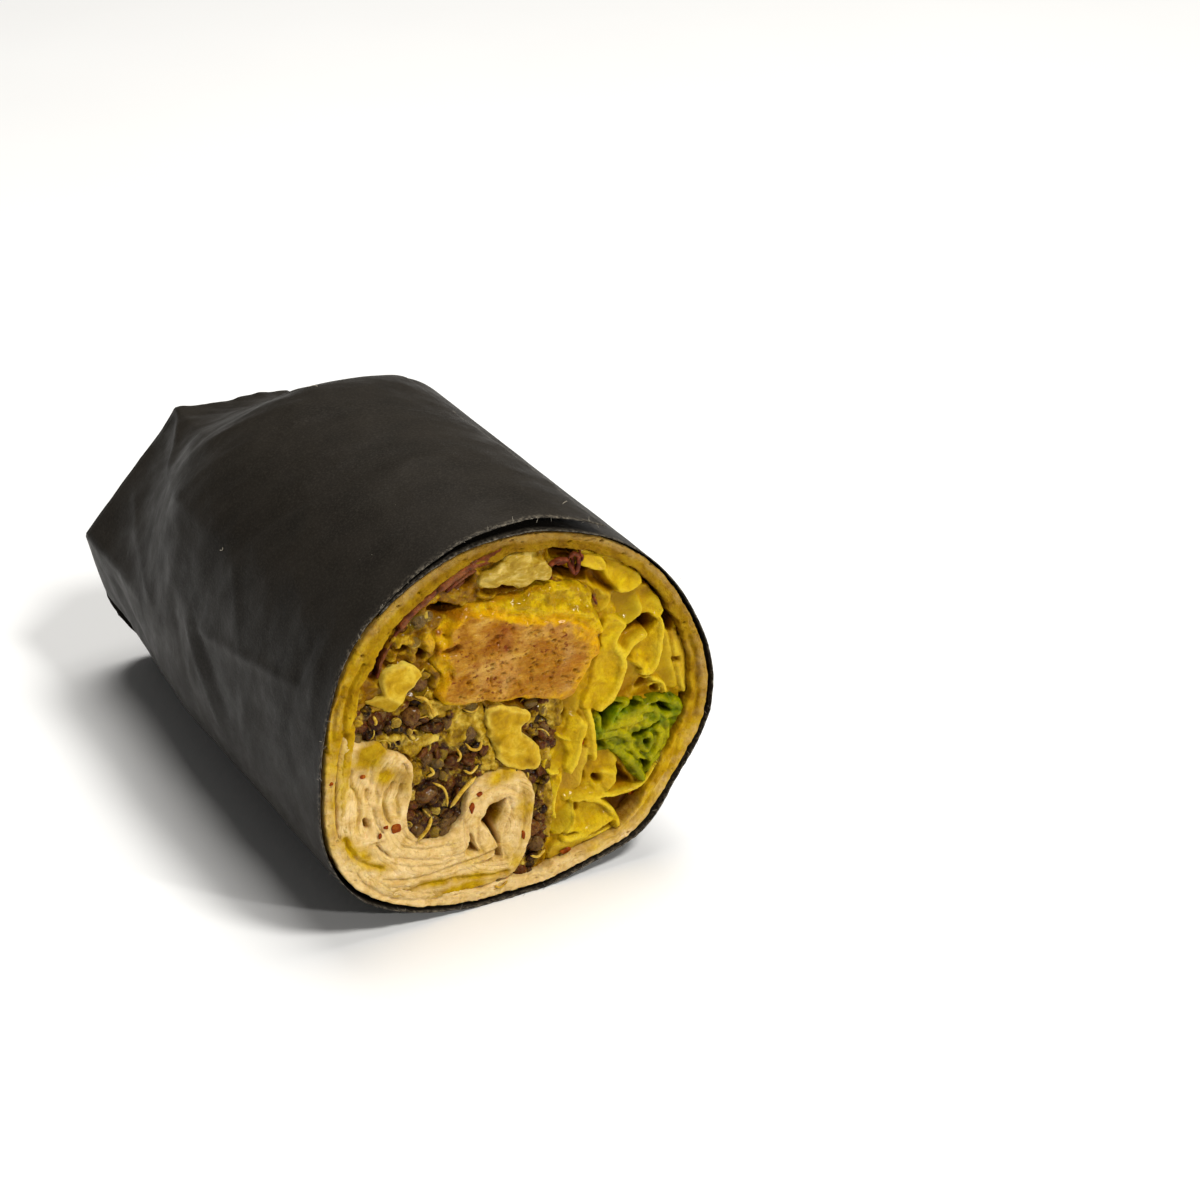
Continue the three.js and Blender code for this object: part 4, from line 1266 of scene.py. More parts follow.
# Leaves of the pale heap, back ones first: depth at the cut edge, fall per millimetre behind it, tint, which
# corners of the outline are the cut edge, and the outline.
LEAVES = [
    (0.9, 0.25, 0.1, (0, 4), [(10.9, 57.3), (14.2, 56), (17.4, 54.4), (20.2, 52.4), (21.3, 51.2),
     (19.4, 51.8), (17, 53.2), (15.6, 54.2), (13, 55.4), (11.2, 55.6)]),
    (1.3, 0.3, -0.2, (1, 4), [(14.2, 49.2), (15.6, 48.7), (16.8, 47.8), (16.5, 46.6), (15.2, 45.4),
     (14.4, 46.6)]),
    (0.7, 0.32, 0, (3, 7), [(20.5, 48.6), (22.2, 48.1), (23.5, 47), (24.6, 45.5), (25.4, 44),
     (25.3, 42.9), (24.6, 42.2), (24, 42.4), (23, 43.4), (21.8, 43.6), (21.4, 46)]),
    (0.9, 0.3, -0.7, (2, 6), [(20.3, 48.6), (20.9, 47.2), (21.5, 45.8), (21.9, 44.6), (21.5, 43.4),
     (20.3, 42.8), (19, 42.4), (17.6, 43.4), (17.6, 45.2), (16.9, 46.8), (17.6, 48.2)]),
    (0.3, 0.26, 0, (3, 8), [(15.9, 53.6), (18, 53.3), (19.6, 52.2), (21.2, 50.8), (21.9, 49.5),
     (20.9, 48.7), (19.7, 48.1), (18.7, 47.9), (17.7, 48.3), (16.8, 49.6), (15.7, 50.8),
     (15.5, 52.2)]),
    (0.1, 0.3, 0.5, (3, 7), [(11.1, 54.5), (12, 55.6), (13.3, 55.6), (15, 54.5), (15.6, 53.1),
     (14.7, 52.7), (13.2, 53.1), (12.1, 53.8), (11.2, 54.3)]),
    (1.2, 0.2, -0.4, (0, 4), [(25.2, 42), (26.2, 39.6), (26.9, 37), (27.4, 33.6), (28.2, 30),
     (26.4, 29.8), (25.2, 31.6), (24.2, 33.6), (24.4, 36), (24.8, 38.6)]),
    (0.9, 0.18, 0.7, (5, 8), [(26.8, 39.8), (28.6, 38.8), (30.6, 36.6), (31.4, 33), (31, 28.6),
     (29.4, 28), (28.4, 30), (27.6, 33.6), (27, 36.8)]),
    (1.6, 0.25, 0, (0, 3), [(18.5, 36.6), (19.7, 36.4), (21, 35.4), (21.5, 33.6), (21, 32),
     (19.4, 30.6), (17.2, 30.2), (17.8, 32.6), (18.3, 34.8)]),
    (1.4, 0.3, 0.1, (0, 3), [(20.6, 31.6), (22.4, 32.8), (24.4, 32.2), (25.9, 30.4), (25.2, 29),
     (22.6, 29.2), (20.8, 29.8), (19.6, 30.4)]),
    (0.3, 0.42, 0, (0, 7), [(25, 42), (25.2, 40.2), (24.7, 38.6), (24.5, 36.8), (24.1, 35),
     (23.2, 33.8), (22, 34), (21, 35.2), (19.2, 37), (20.4, 38.2), (22, 39.4), (23.2, 40.6),
     (24.2, 42.2)]),
    (0.4, 0.24, 0.1, (0, 5), [(17.4, 39.8), (18.6, 38.2), (18.8, 36.4), (18.2, 34.4), (17.2, 32.2),
     (15.6, 30.5), (13, 29.9), (11.6, 31), (12.6, 33.2), (13.2, 35.6), (14, 38), (15, 40)]),
    (0.2, 0.3, 0, (1, 6), [(15.6, 44.7), (17.1, 44.7), (18.1, 43.8), (18.9, 42.7), (18.1, 41.7),
     (17.5, 40.6), (17.3, 39.2), (16, 39.2), (14.9, 40.2), (14.9, 42), (15.1, 43.6)]),
    (1.5, 0.2, -0.5, (3, 6), [(5.2, 33), (8, 34), (10.6, 33.6), (11.6, 31.4), (11, 29.6), (9.6, 29.4),
     (8, 28.4), (6.8, 30)]),
    (0.9, 0.22, 0.2, (1, 5), [(11.4, 30.4), (13.2, 29.2), (13.5, 26.8), (13.8, 24.4), (13.9, 22.4),
     (12.9, 22), (12.4, 24), (11.4, 25.6), (11.8, 28)]),
    (1.1, 0.2, 1, (1, 4), [(10.9, 23.4), (12.9, 23.6), (12.6, 21.4), (12, 19.6), (11.6, 17.6),
     (10.2, 16.8), (8.6, 17), (8.2, 18.6), (8.8, 20), (10.2, 21.4)]),
    (0.9, 0.3, -0.1, (4, 8), [(8.2, 17.4), (10.2, 17), (13.6, 16.6), (16.6, 16.4), (16.6, 15.4),
     (14.6, 14.8), (12, 15.1), (10, 15.3), (8.6, 15.6)]),
    (1, 0.24, -0.1, (2, 6), [(13.3, 22.4), (15.8, 22.9), (17.2, 21.4), (17.9, 19.4), (17.7, 17.4),
     (16.8, 15.6), (14.2, 15.6), (12.9, 17.4), (12.4, 19.6), (12.8, 21.4)]),
    (0.5, 0.28, 0.3, (1, 4), [(13.9, 18.8), (15.3, 19.3), (17, 18.4), (17.3, 16.8), (16.2, 15.5),
     (15, 16.4), (14.8, 17.8)]),
    (0.4, 0.3, 0, (1, 5), [(9.6, 29.8), (11.3, 29.2), (12.1, 27.7), (11.6, 25.8), (11, 23.6),
     (9.5, 20.4), (8.7, 21.4), (9.2, 24), (8.2, 26.4), (9.2, 27.8)]),
    (1, 0.3, -0.3, (4, 8), [(6, 24.6), (7.8, 25.2), (8.8, 24), (8.8, 22.2), (7.2, 20.9), (5.8, 21.4),
     (5, 22.6), (5.1, 23.8), (5.8, 24.6)]),
    (0.8, 0.28, 0, (2, 5), [(6.2, 20.6), (8, 20.6), (8.2, 19.2), (7.2, 17.4), (7, 15.2), (6.8, 13.2),
     (6, 14.6), (5.8, 17.8)]),
    (1, 0.22, -0.5, (2, 5), [(6.4, 12.8), (8.4, 14.4), (9.9, 15), (10.2, 13), (9.6, 11), (8.2, 10),
     (6.2, 10.4), (5.6, 11.8)]),
    (0.8, 0.16, 0.8, (0, 3), [(7.6, 8.8), (12, 8.6), (17.4, 8.8), (21, 9.8), (18, 6.6), (13, 5.4),
     (7, 5.4), (5.8, 7.2)]),
    (3.2, 0.32, -0.6, (3, 6), [(14.6, 14.6), (18, 14.4), (21.4, 14.7), (22.6, 14), (22.2, 12),
     (20.6, 9.6), (18.4, 8.6), (17.4, 10.4), (15.8, 13)]),
    (0.4, 0.34, 0, (5, 10), [(9.9, 15.3), (12.3, 15.1), (14, 14.6), (15.5, 13.2), (16.6, 11.8),
     (17.2, 10.2), (15, 10.2), (13, 9.4), (11, 8.9), (8.6, 9.1), (9.4, 10.6), (10.2, 12.8)]),
    (1, 0.2, 0.3, (0, 3), [(22, 15.4), (24, 17.2), (26.4, 19.4), (28.2, 23), (29.6, 21), (27.4, 16.6),
     (24.4, 13.2)]),
]
# Rolled and cut edges that show as pale lines: width, depth, path.
RIBS = [
    (1.3, 0.15, [(22.2, 40.4), (20.8, 40), (19.4, 39.1), (18.5, 38)]),
    (1.2, 0.1, [(17.3, 39.4), (18.3, 37.6), (18.2, 35.4), (17.3, 33), (16.1, 31), (14.4, 30.1)]),
    (0.9, 0.2, [(24.9, 42), (24.7, 39.6), (24.4, 37), (23.9, 35), (22.8, 33.9), (21.6, 34.2)]),
    (0.6, 0.7, [(22.4, 32.9), (24.2, 32.1), (25.4, 31), (25.8, 29.8)]),
    (0.45, 1.2, [(23.2, 31.2), (24.1, 31.5), (24.9, 30.9), (24.9, 30)]),
    (0.9, 0.2, [(12.3, 15), (14.1, 14.4), (15.6, 13.1), (16.6, 11.6), (17.4, 9.8), (17.6, 8.4)]),
    (1, 0.35, [(8.4, 9.1), (9.8, 8.8), (11.6, 8.9), (13.4, 9.5), (15.2, 10.1), (16.4, 10.5)]),
    (0.6, 0.4, [(9.8, 15.4), (12, 15.2), (14.4, 14.9), (17, 14.5), (19.6, 14.5), (21.8, 15.2),
     (23.8, 17.4), (26, 19.1)]),
    (0.5, 0.6, [(9.9, 15.1), (10.3, 13.2), (9.9, 11.4), (8.9, 10)]),
    (0.55, 0.5, [(5.8, 24.5), (5, 23.2), (5.3, 22), (6.4, 21.1), (7.4, 21)]),
    (0.9, 0.3, [(12, 27.8), (11.5, 26), (11, 24.2), (10.4, 22.2), (9.4, 20.6)]),
    (0.5, 0.7, [(7.9, 19.5), (7.1, 17.6), (6.8, 15.6), (6.9, 13.4)]),
    (0.9, 0.6, [(12.6, 29.8), (13.2, 27.8), (13.5, 25.6), (13.7, 23.6), (13.6, 21.6)]),
    (0.35, 0.2, [(5.6, 30.4), (6.8, 28.2), (8, 26.8), (9.3, 26)]),
]
# Hollows between them: depth, softness of their edge, outline.
PITS = [
    (4.5, 0.9, [(18.3, 41.1), (19.4, 42.2), (21, 43.2), (22.6, 43.4), (23.9, 42.5), (23.4, 41.2),
     (22.7, 39.6), (22.1, 39.9), (22.2, 40.8), (20.6, 41.2), (19.2, 40.9)]),
    (4.5, 0.8, [(25, 42.1), (25.7, 43.1), (26.6, 43.2), (27.4, 42), (27.4, 40.4), (26.8, 39.4),
     (25.8, 40.2)]),
    (2.6, 0.5, [(21.3, 51.1), (22.9, 49.7), (24.4, 47.8), (25.7, 45.4), (26.4, 43.2), (25.4, 43.6),
     (24.4, 45.8), (22.8, 48.1), (21.6, 48.6)]),
    (4, 0.8, [(7, 54.8), (9.2, 54.6), (10.2, 53.4), (11.1, 54.2), (12, 53.5), (13.6, 52.6),
     (12.6, 51.4), (10.6, 51.6), (8.4, 52.8), (7, 53.6)]),
    (1.8, 1, [(12.6, 52.6), (14.8, 52.4), (15.8, 51.2), (16.8, 49.6), (17.4, 48.4), (15.6, 48.9),
     (14, 49.8), (13, 51)]),
    (2.2, 0.6, [(6.6, 58), (9, 57.5), (11, 57), (10.8, 55.4), (8.8, 56), (7, 56.2)]),
    (2.6, 0.5, [(27.9, 38.9), (28.8, 39.9), (29.8, 40.4), (30, 39.5), (29, 38.7), (28.3, 38.4)]),
    (1.6, 0.5, [(28.1, 41.4), (28.8, 41.6), (28.9, 40.6), (28.2, 40.3)]),
    (1.4, 0.7, [(20.7, 31.5), (21.8, 32.8), (23.4, 32.8), (23, 31.8), (21.8, 31.1)]),
    (1.8, 0.5, [(23.7, 30.5), (24.3, 31.2), (24.9, 30.6), (24.6, 29.9), (24, 29.8)]),
    (1.2, 0.6, [(19, 37.1), (19.8, 37.5), (20.3, 36.7), (19.5, 36.5)]),
    (2.4, 0.6, [(17.5, 19.8), (18.5, 18.6), (19.4, 17.2), (20.6, 15.3), (19, 15.1), (17.5, 15.4),
     (17.9, 17.4)]),
    (1.8, 0.5, [(13.6, 18.5), (14.6, 18.7), (15, 17.8), (14.4, 16.9), (13.6, 17.5)]),
    (1.2, 0.5, [(12, 19.3), (12.5, 19.3), (12.5, 18), (12, 17.8)]),
    (1.2, 0.8, [(14.6, 14.2), (16.6, 14.2), (18.6, 14), (17.2, 12.6), (16.4, 12.4)]),
    (1, 0.5, [(10, 15), (11, 14.6), (10.9, 13.4), (10.2, 13)]),
    (1.6, 0.4, [(8.7, 9.9), (9.6, 9.9), (10.8, 9.6), (10, 9.2), (9, 9.4)]),
    (1.4, 0.6, [(4.6, 10.6), (5.6, 11.1), (6.8, 10.4), (5.8, 10)]),
    (1, 0.5, [(11.2, 23.6), (11.6, 25.8), (12.4, 25.2), (12.8, 24.8), (12, 23.9)]),
    (1.6, 0.7, [(28.6, 28.2), (29.4, 28.4), (29.8, 26.6), (29.2, 25.4), (28.6, 26.4)]),
    (1.6, 0.7, [(6.4, 30.4), (8, 31), (9.4, 30.6), (8.8, 29), (7.4, 28.4), (7, 29.2)]),
    (1.4, 0.6, [(27, 35), (28.3, 34.9), (28.4, 33.9), (27.3, 34)]),
]
GREEN_RIBS = [
    (0.9, 0.2, [(15.3, 25.9), (16.2, 27), (17.2, 28.2), (18.4, 29.2), (19.4, 29.9)]),
    (0.7, 0.3, [(13.9, 29), (14.5, 28.2), (14.4, 26.6), (14.9, 25.4), (14.4, 24.2)]),
    (1, 0.2, [(17.8, 27.6), (19.4, 27.3), (21, 27.6), (22.6, 28), (24, 28.7), (25.8, 28.5),
     (27.2, 27.6), (28.4, 26.4)]),
    (0.9, 0.3, [(22.4, 27.4), (23.6, 27.4), (24.4, 26.6), (24.3, 25.4), (23.2, 24.9), (22.2, 25.2)]),
    (1.2, 0.1, [(16.4, 26.3), (18, 26.4), (19.6, 26.2), (21.2, 26.4)]),
    (1.1, 0.2, [(15.4, 24.9), (16.8, 25), (18.2, 24.6), (19.4, 23.6), (19.6, 22.4)]),
    (0.9, 0.4, [(15.8, 23.2), (17, 22.6), (18.2, 22.3), (19.2, 21.4)]),
    (1.3, 0, [(17.2, 22), (18.7, 20.6), (20.2, 19), (21.2, 17.4), (21.9, 15.8)]),
    (0.8, 0.2, [(19.2, 22.6), (20.2, 21.4), (20.8, 20.2), (21.8, 19.2), (22.2, 18.2)]),
    (0.8, 0.3, [(21.4, 22.4), (21.8, 21.2), (22.6, 20.6), (23.3, 21.4), (23.4, 22.6), (22.6, 23.2)]),
    (1, 0.3, [(24.6, 27.1), (25.8, 25.8), (26.8, 25.4), (28, 25.8)]),
    (1, 0.3, [(24.4, 24), (25.2, 22.8), (24.8, 21.2), (24, 19.8), (23.2, 19)]),
    (0.8, 0.5, [(26, 24.4), (26.2, 22.8), (25.8, 21.2), (25.4, 19.8)]),
    (0.8, 0.4, [(22.8, 17.2), (23.6, 18.2), (24.6, 19)]),
]
GREEN_PITS = [
    (4.5, 0.7, [(14.3, 29.3), (15.4, 29.9), (17.4, 30), (18.5, 29.6), (17.3, 28.9), (16.3, 27.6),
     (15.5, 26.2), (14.8, 26.3), (15, 27.4), (14.9, 28.3)]),
    (2.2, 0.8, [(18.3, 28.3), (19.3, 29.2), (20.6, 29.6), (21.8, 29), (22, 28.2), (20.6, 27.9)]),
    (3.4, 0.5, [(22.9, 28.2), (24.2, 28.5), (25.5, 28), (26.4, 27), (26.8, 26.1), (25.8, 25.9),
     (24.9, 26.7), (24.3, 27.6)]),
    (3.6, 0.5, [(20, 23.5), (21, 24.1), (22.7, 24.1), (22.3, 23.2), (21.6, 22.8), (20.8, 22.9)]),
    (2, 0.4, [(22.7, 24.1), (23.6, 24.7), (24.8, 25), (24.6, 24.3), (23.4, 23.9)]),
    (3.2, 0.5, [(21.9, 21.8), (22.4, 22.5), (23, 22), (22.8, 21.3), (22.3, 21.2)]),
    (2, 0.5, [(13.8, 24.4), (15.1, 24.5), (15.7, 23), (14.6, 22.7), (13.9, 23.2)]),
    (2.4, 0.4, [(21.2, 19.6), (22, 19.2), (23.1, 18.4), (23, 17.7), (22.3, 16.9), (22, 18),
     (21.4, 18.9)]),
    (1.4, 0.6, [(25.4, 29), (26.4, 29.4), (27.3, 28.5), (26.4, 28)]),
    (1.2, 0.6, [(18.4, 22), (19.4, 21.4), (20.2, 20.4), (19.4, 20.6)]),
]
# Tints of the green leaf, and painted shade: the darker spots lie over its pits.
GREEN_TINTS_AND_SHADE = [
    (17, 28.3, 2.2, 1.2, -1.6), (19.8, 26, 2.6, 1.3, 1.3), (14.2, 27, 0.9, 2, -0.8),
    (26.6, 26, 1.8, 2, -0.6), (25, 21, 1.2, 3, 0.4), (23.6, 25.8, 1.4, 1.4, -0.6),
]
CHUNK_DENTS = [(2.4, 29.4, 1, 1, 0.8), (-3.4, 29, 0.8, 1.2, 0.6), (-2.8, 28.8, 0.4, 0.4, 0.4)]
CABBAGE_DENTS = [(4.6, 57.6, 1.4, 1, 0.6), (-3.4, 55.4, 1.2, 0.5, 0.3), (-0.4, 55.2, 2, 0.4, 0.25)]


def lumpy(level, seed, big, small, edge, drop, spots=()):
    """A relief of smooth lumps behind the cut, rounded off at the outline, with dents."""

    def front(points, distance):
        depth = level + ripples(points, (big, 3, seed), (small, 1, seed + 1), (0.05, 0.375, seed + 2))
        depth += rounded(distance, edge, drop) + dents(points, spots)
        return {"depth": depth, "rim": ridge(distance, 0.5)}

    return front


def cube_face(points, distance):
    """The cube shows a large face, and a second one that slants away at the lower left."""
    away = (points - (-21, 42)) @ np.array([-0.565, -0.825])
    depth = 0.1 + 0.12 * noise(points, 1.6, 28) + 0.55 * np.clip(away, 0, 3) + rounded(distance, 0.4, 0.4)
    # the pale rim along the crease between its faces and round its outline is painted highlight on the cube's
    # edges
    return {"depth": depth, "rim": np.maximum(ridge(away, 0.3), ridge(distance, 0.4))}


def under(points, depth, outlines, out_of_sight=8.5):
    """A relief sent back where another filling stands before it."""
    for outline in outlines:
        depth = blend(depth, out_of_sight, smoothstep(depth_inside(points, outline), 0.35, 0.6))
    return depth


def lettuce_front(points, distance):
    depth = 1.7 + ripples(points, (0.5, 2.6, 34), (0.25, 1.1, 35))
    depth, rim, tint = carve(points, depth, LEAVES, RIBS, PITS, 36)
    depth = depth + ripples(points, (0.06, 1.2, 37), (0.03, 0.5, 38))
    return {"depth": under(points, depth, [GREEN]) + rounded(distance, 0.4, 0.3), "rim": rim, "tint": tint}


def green_front(points, distance):
    folds = 1.0 * np.abs(noise(points, 2.4, 61)) + 0.4 * np.abs(noise(points, 1.0, 62))
    depth, rim, _ = carve(points, 0.7 + folds, (), GREEN_RIBS, GREEN_PITS, 63)
    depth = blend(depth, 0.7 + 1.4 * folds, 0.35) + ripples(points, (0.16, 0.9, 64), (0.06, 0.45, 65))
    rim = rim * (0.6 + 0.5 * noise(points, 1.6, 66))
    return {"depth": depth + rounded(distance, 0.6, 0.5), "rim": rim, "tint": dents(points, GREEN_TINTS_AND_SHADE)}


SAUCE_NODES = [f"curry_sauce_{number}" for number in range(1, 5)]
SAUCE_PITS = [
    (6, 0.4, [(-15.1, 46.9), (-14.3, 47), (-13.2, 46.3), (-13.7, 45.4), (-14.8, 45.8)]),
    (4, 0.7, [(-13, 53.2), (-11, 53.4), (-8.6, 52.6), (-7.2, 51.5), (-9, 51), (-11.4, 51.6)]),
    (4.5, 0.7, [(-22.4, 45.4), (-21.2, 48.2), (-20, 50.4), (-18.2, 50.8), (-19.4, 48), (-20.4, 45.2),
     (-21.4, 43.4)]),
    (2, 0.5, [(-18.6, 48.2), (-17.6, 47.3), (-16.4, 47.5), (-16.1, 48.6), (-17, 48.1)]),
    (3.5, 0.8, [(-1.8, 35.4), (0, 36), (2, 35.8), (3.8, 35), (3, 33.6), (1, 34)]),
    (2.5, 0.8, [(-20.4, 45.6), (-19, 46.3), (-17, 46.4), (-18.6, 45.4)]),
    (2.2, 0.8, [(-9.4, 55.6), (-7.4, 56.8), (-5.4, 57.4), (-5.4, 55.4), (-7, 54.6)]),
    (2.4, 0.7, [(-5, 53.8), (-2, 54), (0.6, 53.4), (4, 53.4), (6, 53.4), (6.6, 52.6), (2, 52.4),
     (-3, 52.8)]),
]
SAUCE_RIBS = [
    (1.3, 0.5, [(-16.9, 49.6), (-15.7, 48.4), (-15.2, 47.2), (-15.6, 45.8)]),
    (1.5, 0.4, [(-13.4, 48.6), (-12.6, 47.6), (-13, 46.8)]),
    (0.7, 0.6, [(-16.2, 39.9), (-14.8, 39.4), (-13.6, 37.6), (-12.8, 36)]),
    (1.2, 0.5, [(-12.8, 43.6), (-11.8, 42.4), (-12.2, 41)]),
    (1, 0.6, [(-4.6, 53.4), (-2.8, 52.9), (-1.4, 53.3)]),
    (0.8, 0.6, [(-18.6, 46.4), (-17.4, 49), (-15.6, 50.6)]),
]
SAUCE_TINTS = [(-14.4, 51.4, 1.3, 1.2, -1.2), (-14.4, 41.2, 1.4, 1.4, -1.2), (-13, 48, 1.2, 1.2, 0.8)]
BEFORE_SAUCE = [CHICKEN, CUBE, CHUNK, CABBAGE, QUINOA, SEAM, LETTUCE, FOLD_OUTLINE]
SAUCE_SKIN = 9.5  # millimetres of sauce behind the cut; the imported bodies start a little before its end


def sauce_front(points, distance):
    depth = 1.5 + ripples(points, (0.7, 2.4, 31), (0.45, 1.1, 32), (0.16, 0.6, 30))
    depth, rim, _ = carve(points, depth, (), SAUCE_RIBS, SAUCE_PITS, 33)
    return {"depth": under(points, depth, BEFORE_SAUCE), "rim": rim, "tint": dents(points, SAUCE_TINTS)}


def packed_sauce(node):
    """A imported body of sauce, back from the skin, as drawn before the roll narrows."""
    co = np.zeros(len(node.vertices) * 3, np.float32)
    node.vertices.foreach_get("co", co)
    x, y, z = (co.reshape(-1, 3) / MM).T
    points = np.column_stack([x - DRAWING[0], z - DRAWING[1], y + LENGTH / 2])
    points[points[:, 2] < 0.1, 2] = 9.0
    angle, radius = polar(points)
    points[:, :2] = from_polar(angle, radius / narrowing(angle, points[:, 2]), 0.0)[:, :2]
    return Shape(points, [tuple(face.vertices) for face in node.polygons], depth=6.0)


def sauce_body():
    """The sauce: a lumpy skin that closes the gaps at the cut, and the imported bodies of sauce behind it."""
    angle = np.linspace(0, 360, 120, endpoint=False)
    hollow = from_polar(angle, radius_at(angle, 0 * angle) - inner_wall(angle) + 0.5, 0.0)[:, :2]
    skin = slab(hollow, sauce_front, 0.25, back=SAUCE_SKIN, hollow=False)
    return Shape.joined([skin, *(packed_sauce(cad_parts[name].data) for name in SAUCE_NODES)])


# Red leaves seen edge-on: thickness, depth of the edge, how far they run back, path.
RED_LEAVES = [
    (1.5, 0.3, FILLING_BACK - 1, [(0.4, 60.2), (-2, 59.3), (-5, 58.6), (-7.6, 57.8), (-9.6, 56.8),
     (-11.6, 55.7)]),
    (1.2, 0.5, 10, [(-11, 56), (-12.6, 55.1), (-14.6, 53.8), (-15.8, 52.9), (-17.4, 51.1)]),
    (0.5, 1.4, 10, [(-16, 52.4), (-17.6, 50.4), (-19, 48), (-20.2, 45.8), (-20.9, 43.6)]),
    (0.8, 1.9, 10, [(-18.4, 50.4), (-20, 48.6), (-21.2, 46.4), (-21.6, 44.4)]),
    (0.5, 1.2, 10, [(-17, 51.4), (-18.2, 49.8), (-19.6, 47.4), (-20.5, 45.6)]),
    (0.8, 1.2, 10, [(-4.8, 57.4), (-6.6, 56.8), (-8.2, 55.9), (-9.8, 54.8)]),
    (0.6, 1.6, 10, [(-6.8, 55.8), (-8.2, 54.9), (-9.6, 54.3), (-11, 54)]),
    (0.7, 1.3, 10, [(-1.4, 58.4), (-3.4, 57.9), (-5.4, 57.6)]),
]
# Curled threads of red leaf, as (right, up, back), and how thick each is.
RED_CURLS = [
    [(6.4, 54.9, 1.2), (6.6, 55.7, 0.7), (7.6, 56.1, 0.5), (8.9, 55.8, 0.6), (8.6, 55.4, 1),
     (7.2, 55.2, 1.4)],
    [(9.1, 55.6, 0.6), (9.4, 56.4, 0.3), (10.1, 56.6, 0.3), (10.8, 56, 0.5), (10.9, 54.8, 0.5),
     (10.6, 53.6, 0.5), (10.3, 53.3, 0.6), (9.9, 54, 0.7), (9.5, 55, 0.8), (9.6, 55.8, 1.1)],
    [(9.8, 56.1, 0.9), (10.3, 55.2, 1.2), (10.3, 54.2, 1.1), (10.4, 53.5, 0.8)],
    [(11.3, 57.1, 0.9), (11.1, 56.4, 0.5), (11.5, 55.8, 0.5), (11.5, 55.1, 0.7), (10.9, 55.2, 0.9)],
    [(6.4, 54.2, 1), (6.5, 53.6, 0.7), (6.8, 53.2, 0.9)],
    [(13.2, 49.2, 0.7), (13.4, 48.4, 0.3), (13.9, 47.4, 0.5)],
]
CURL_RADII = (0.42, 0.36, 0.3, 0.2, 0.2, 0.2)


def red_leaves():
    shapes = []
    for number, (thickness, front, deep, path) in enumerate(RED_LEAVES):
        # rim: paler patches over the sheet, partly painted highlight
        shapes.append(ribbon(path, thickness, front, deep, 180 + number, rim=0.35))
    return Shape.joined(shapes)


def red_curl():
    curls = zip(RED_CURLS, CURL_RADII)
    shapes = [tube(curve(path, 34), radius, 8, depth=0.4, rim=0.1) for path, radius in curls]
    return Shape.joined([*shapes, slab(CURL_BASE, lumpy(5.6, 66, 0.5, 0.3, 0.9, 1.0), 0.35)])


# ---- quinoa

GRAIN_GAP = 1.5  # between the middles of scattered grains
GRAIN_ROWS, GRAIN_AROUND = 11, 22  # of points on a grain
FLATNESS = 0.62  # of a grain, as a share of its width
POLE = 0.56  # how far out its two poles lie, where its sides are dimpled
LOOSE_GRAINS = [(QUINOA, 44), (SEAM, 20)]
GERM_SHARE = 0.35  # of the grains show their germ
TONES = [0.05, 0.2, 0.36, 0.6, 0.8, 0.95]  # the last, cream, only in the bed
BED_TONE_SHARES = [0.24, 0.3, 0.22, 0.1, 0.09, 0.05]
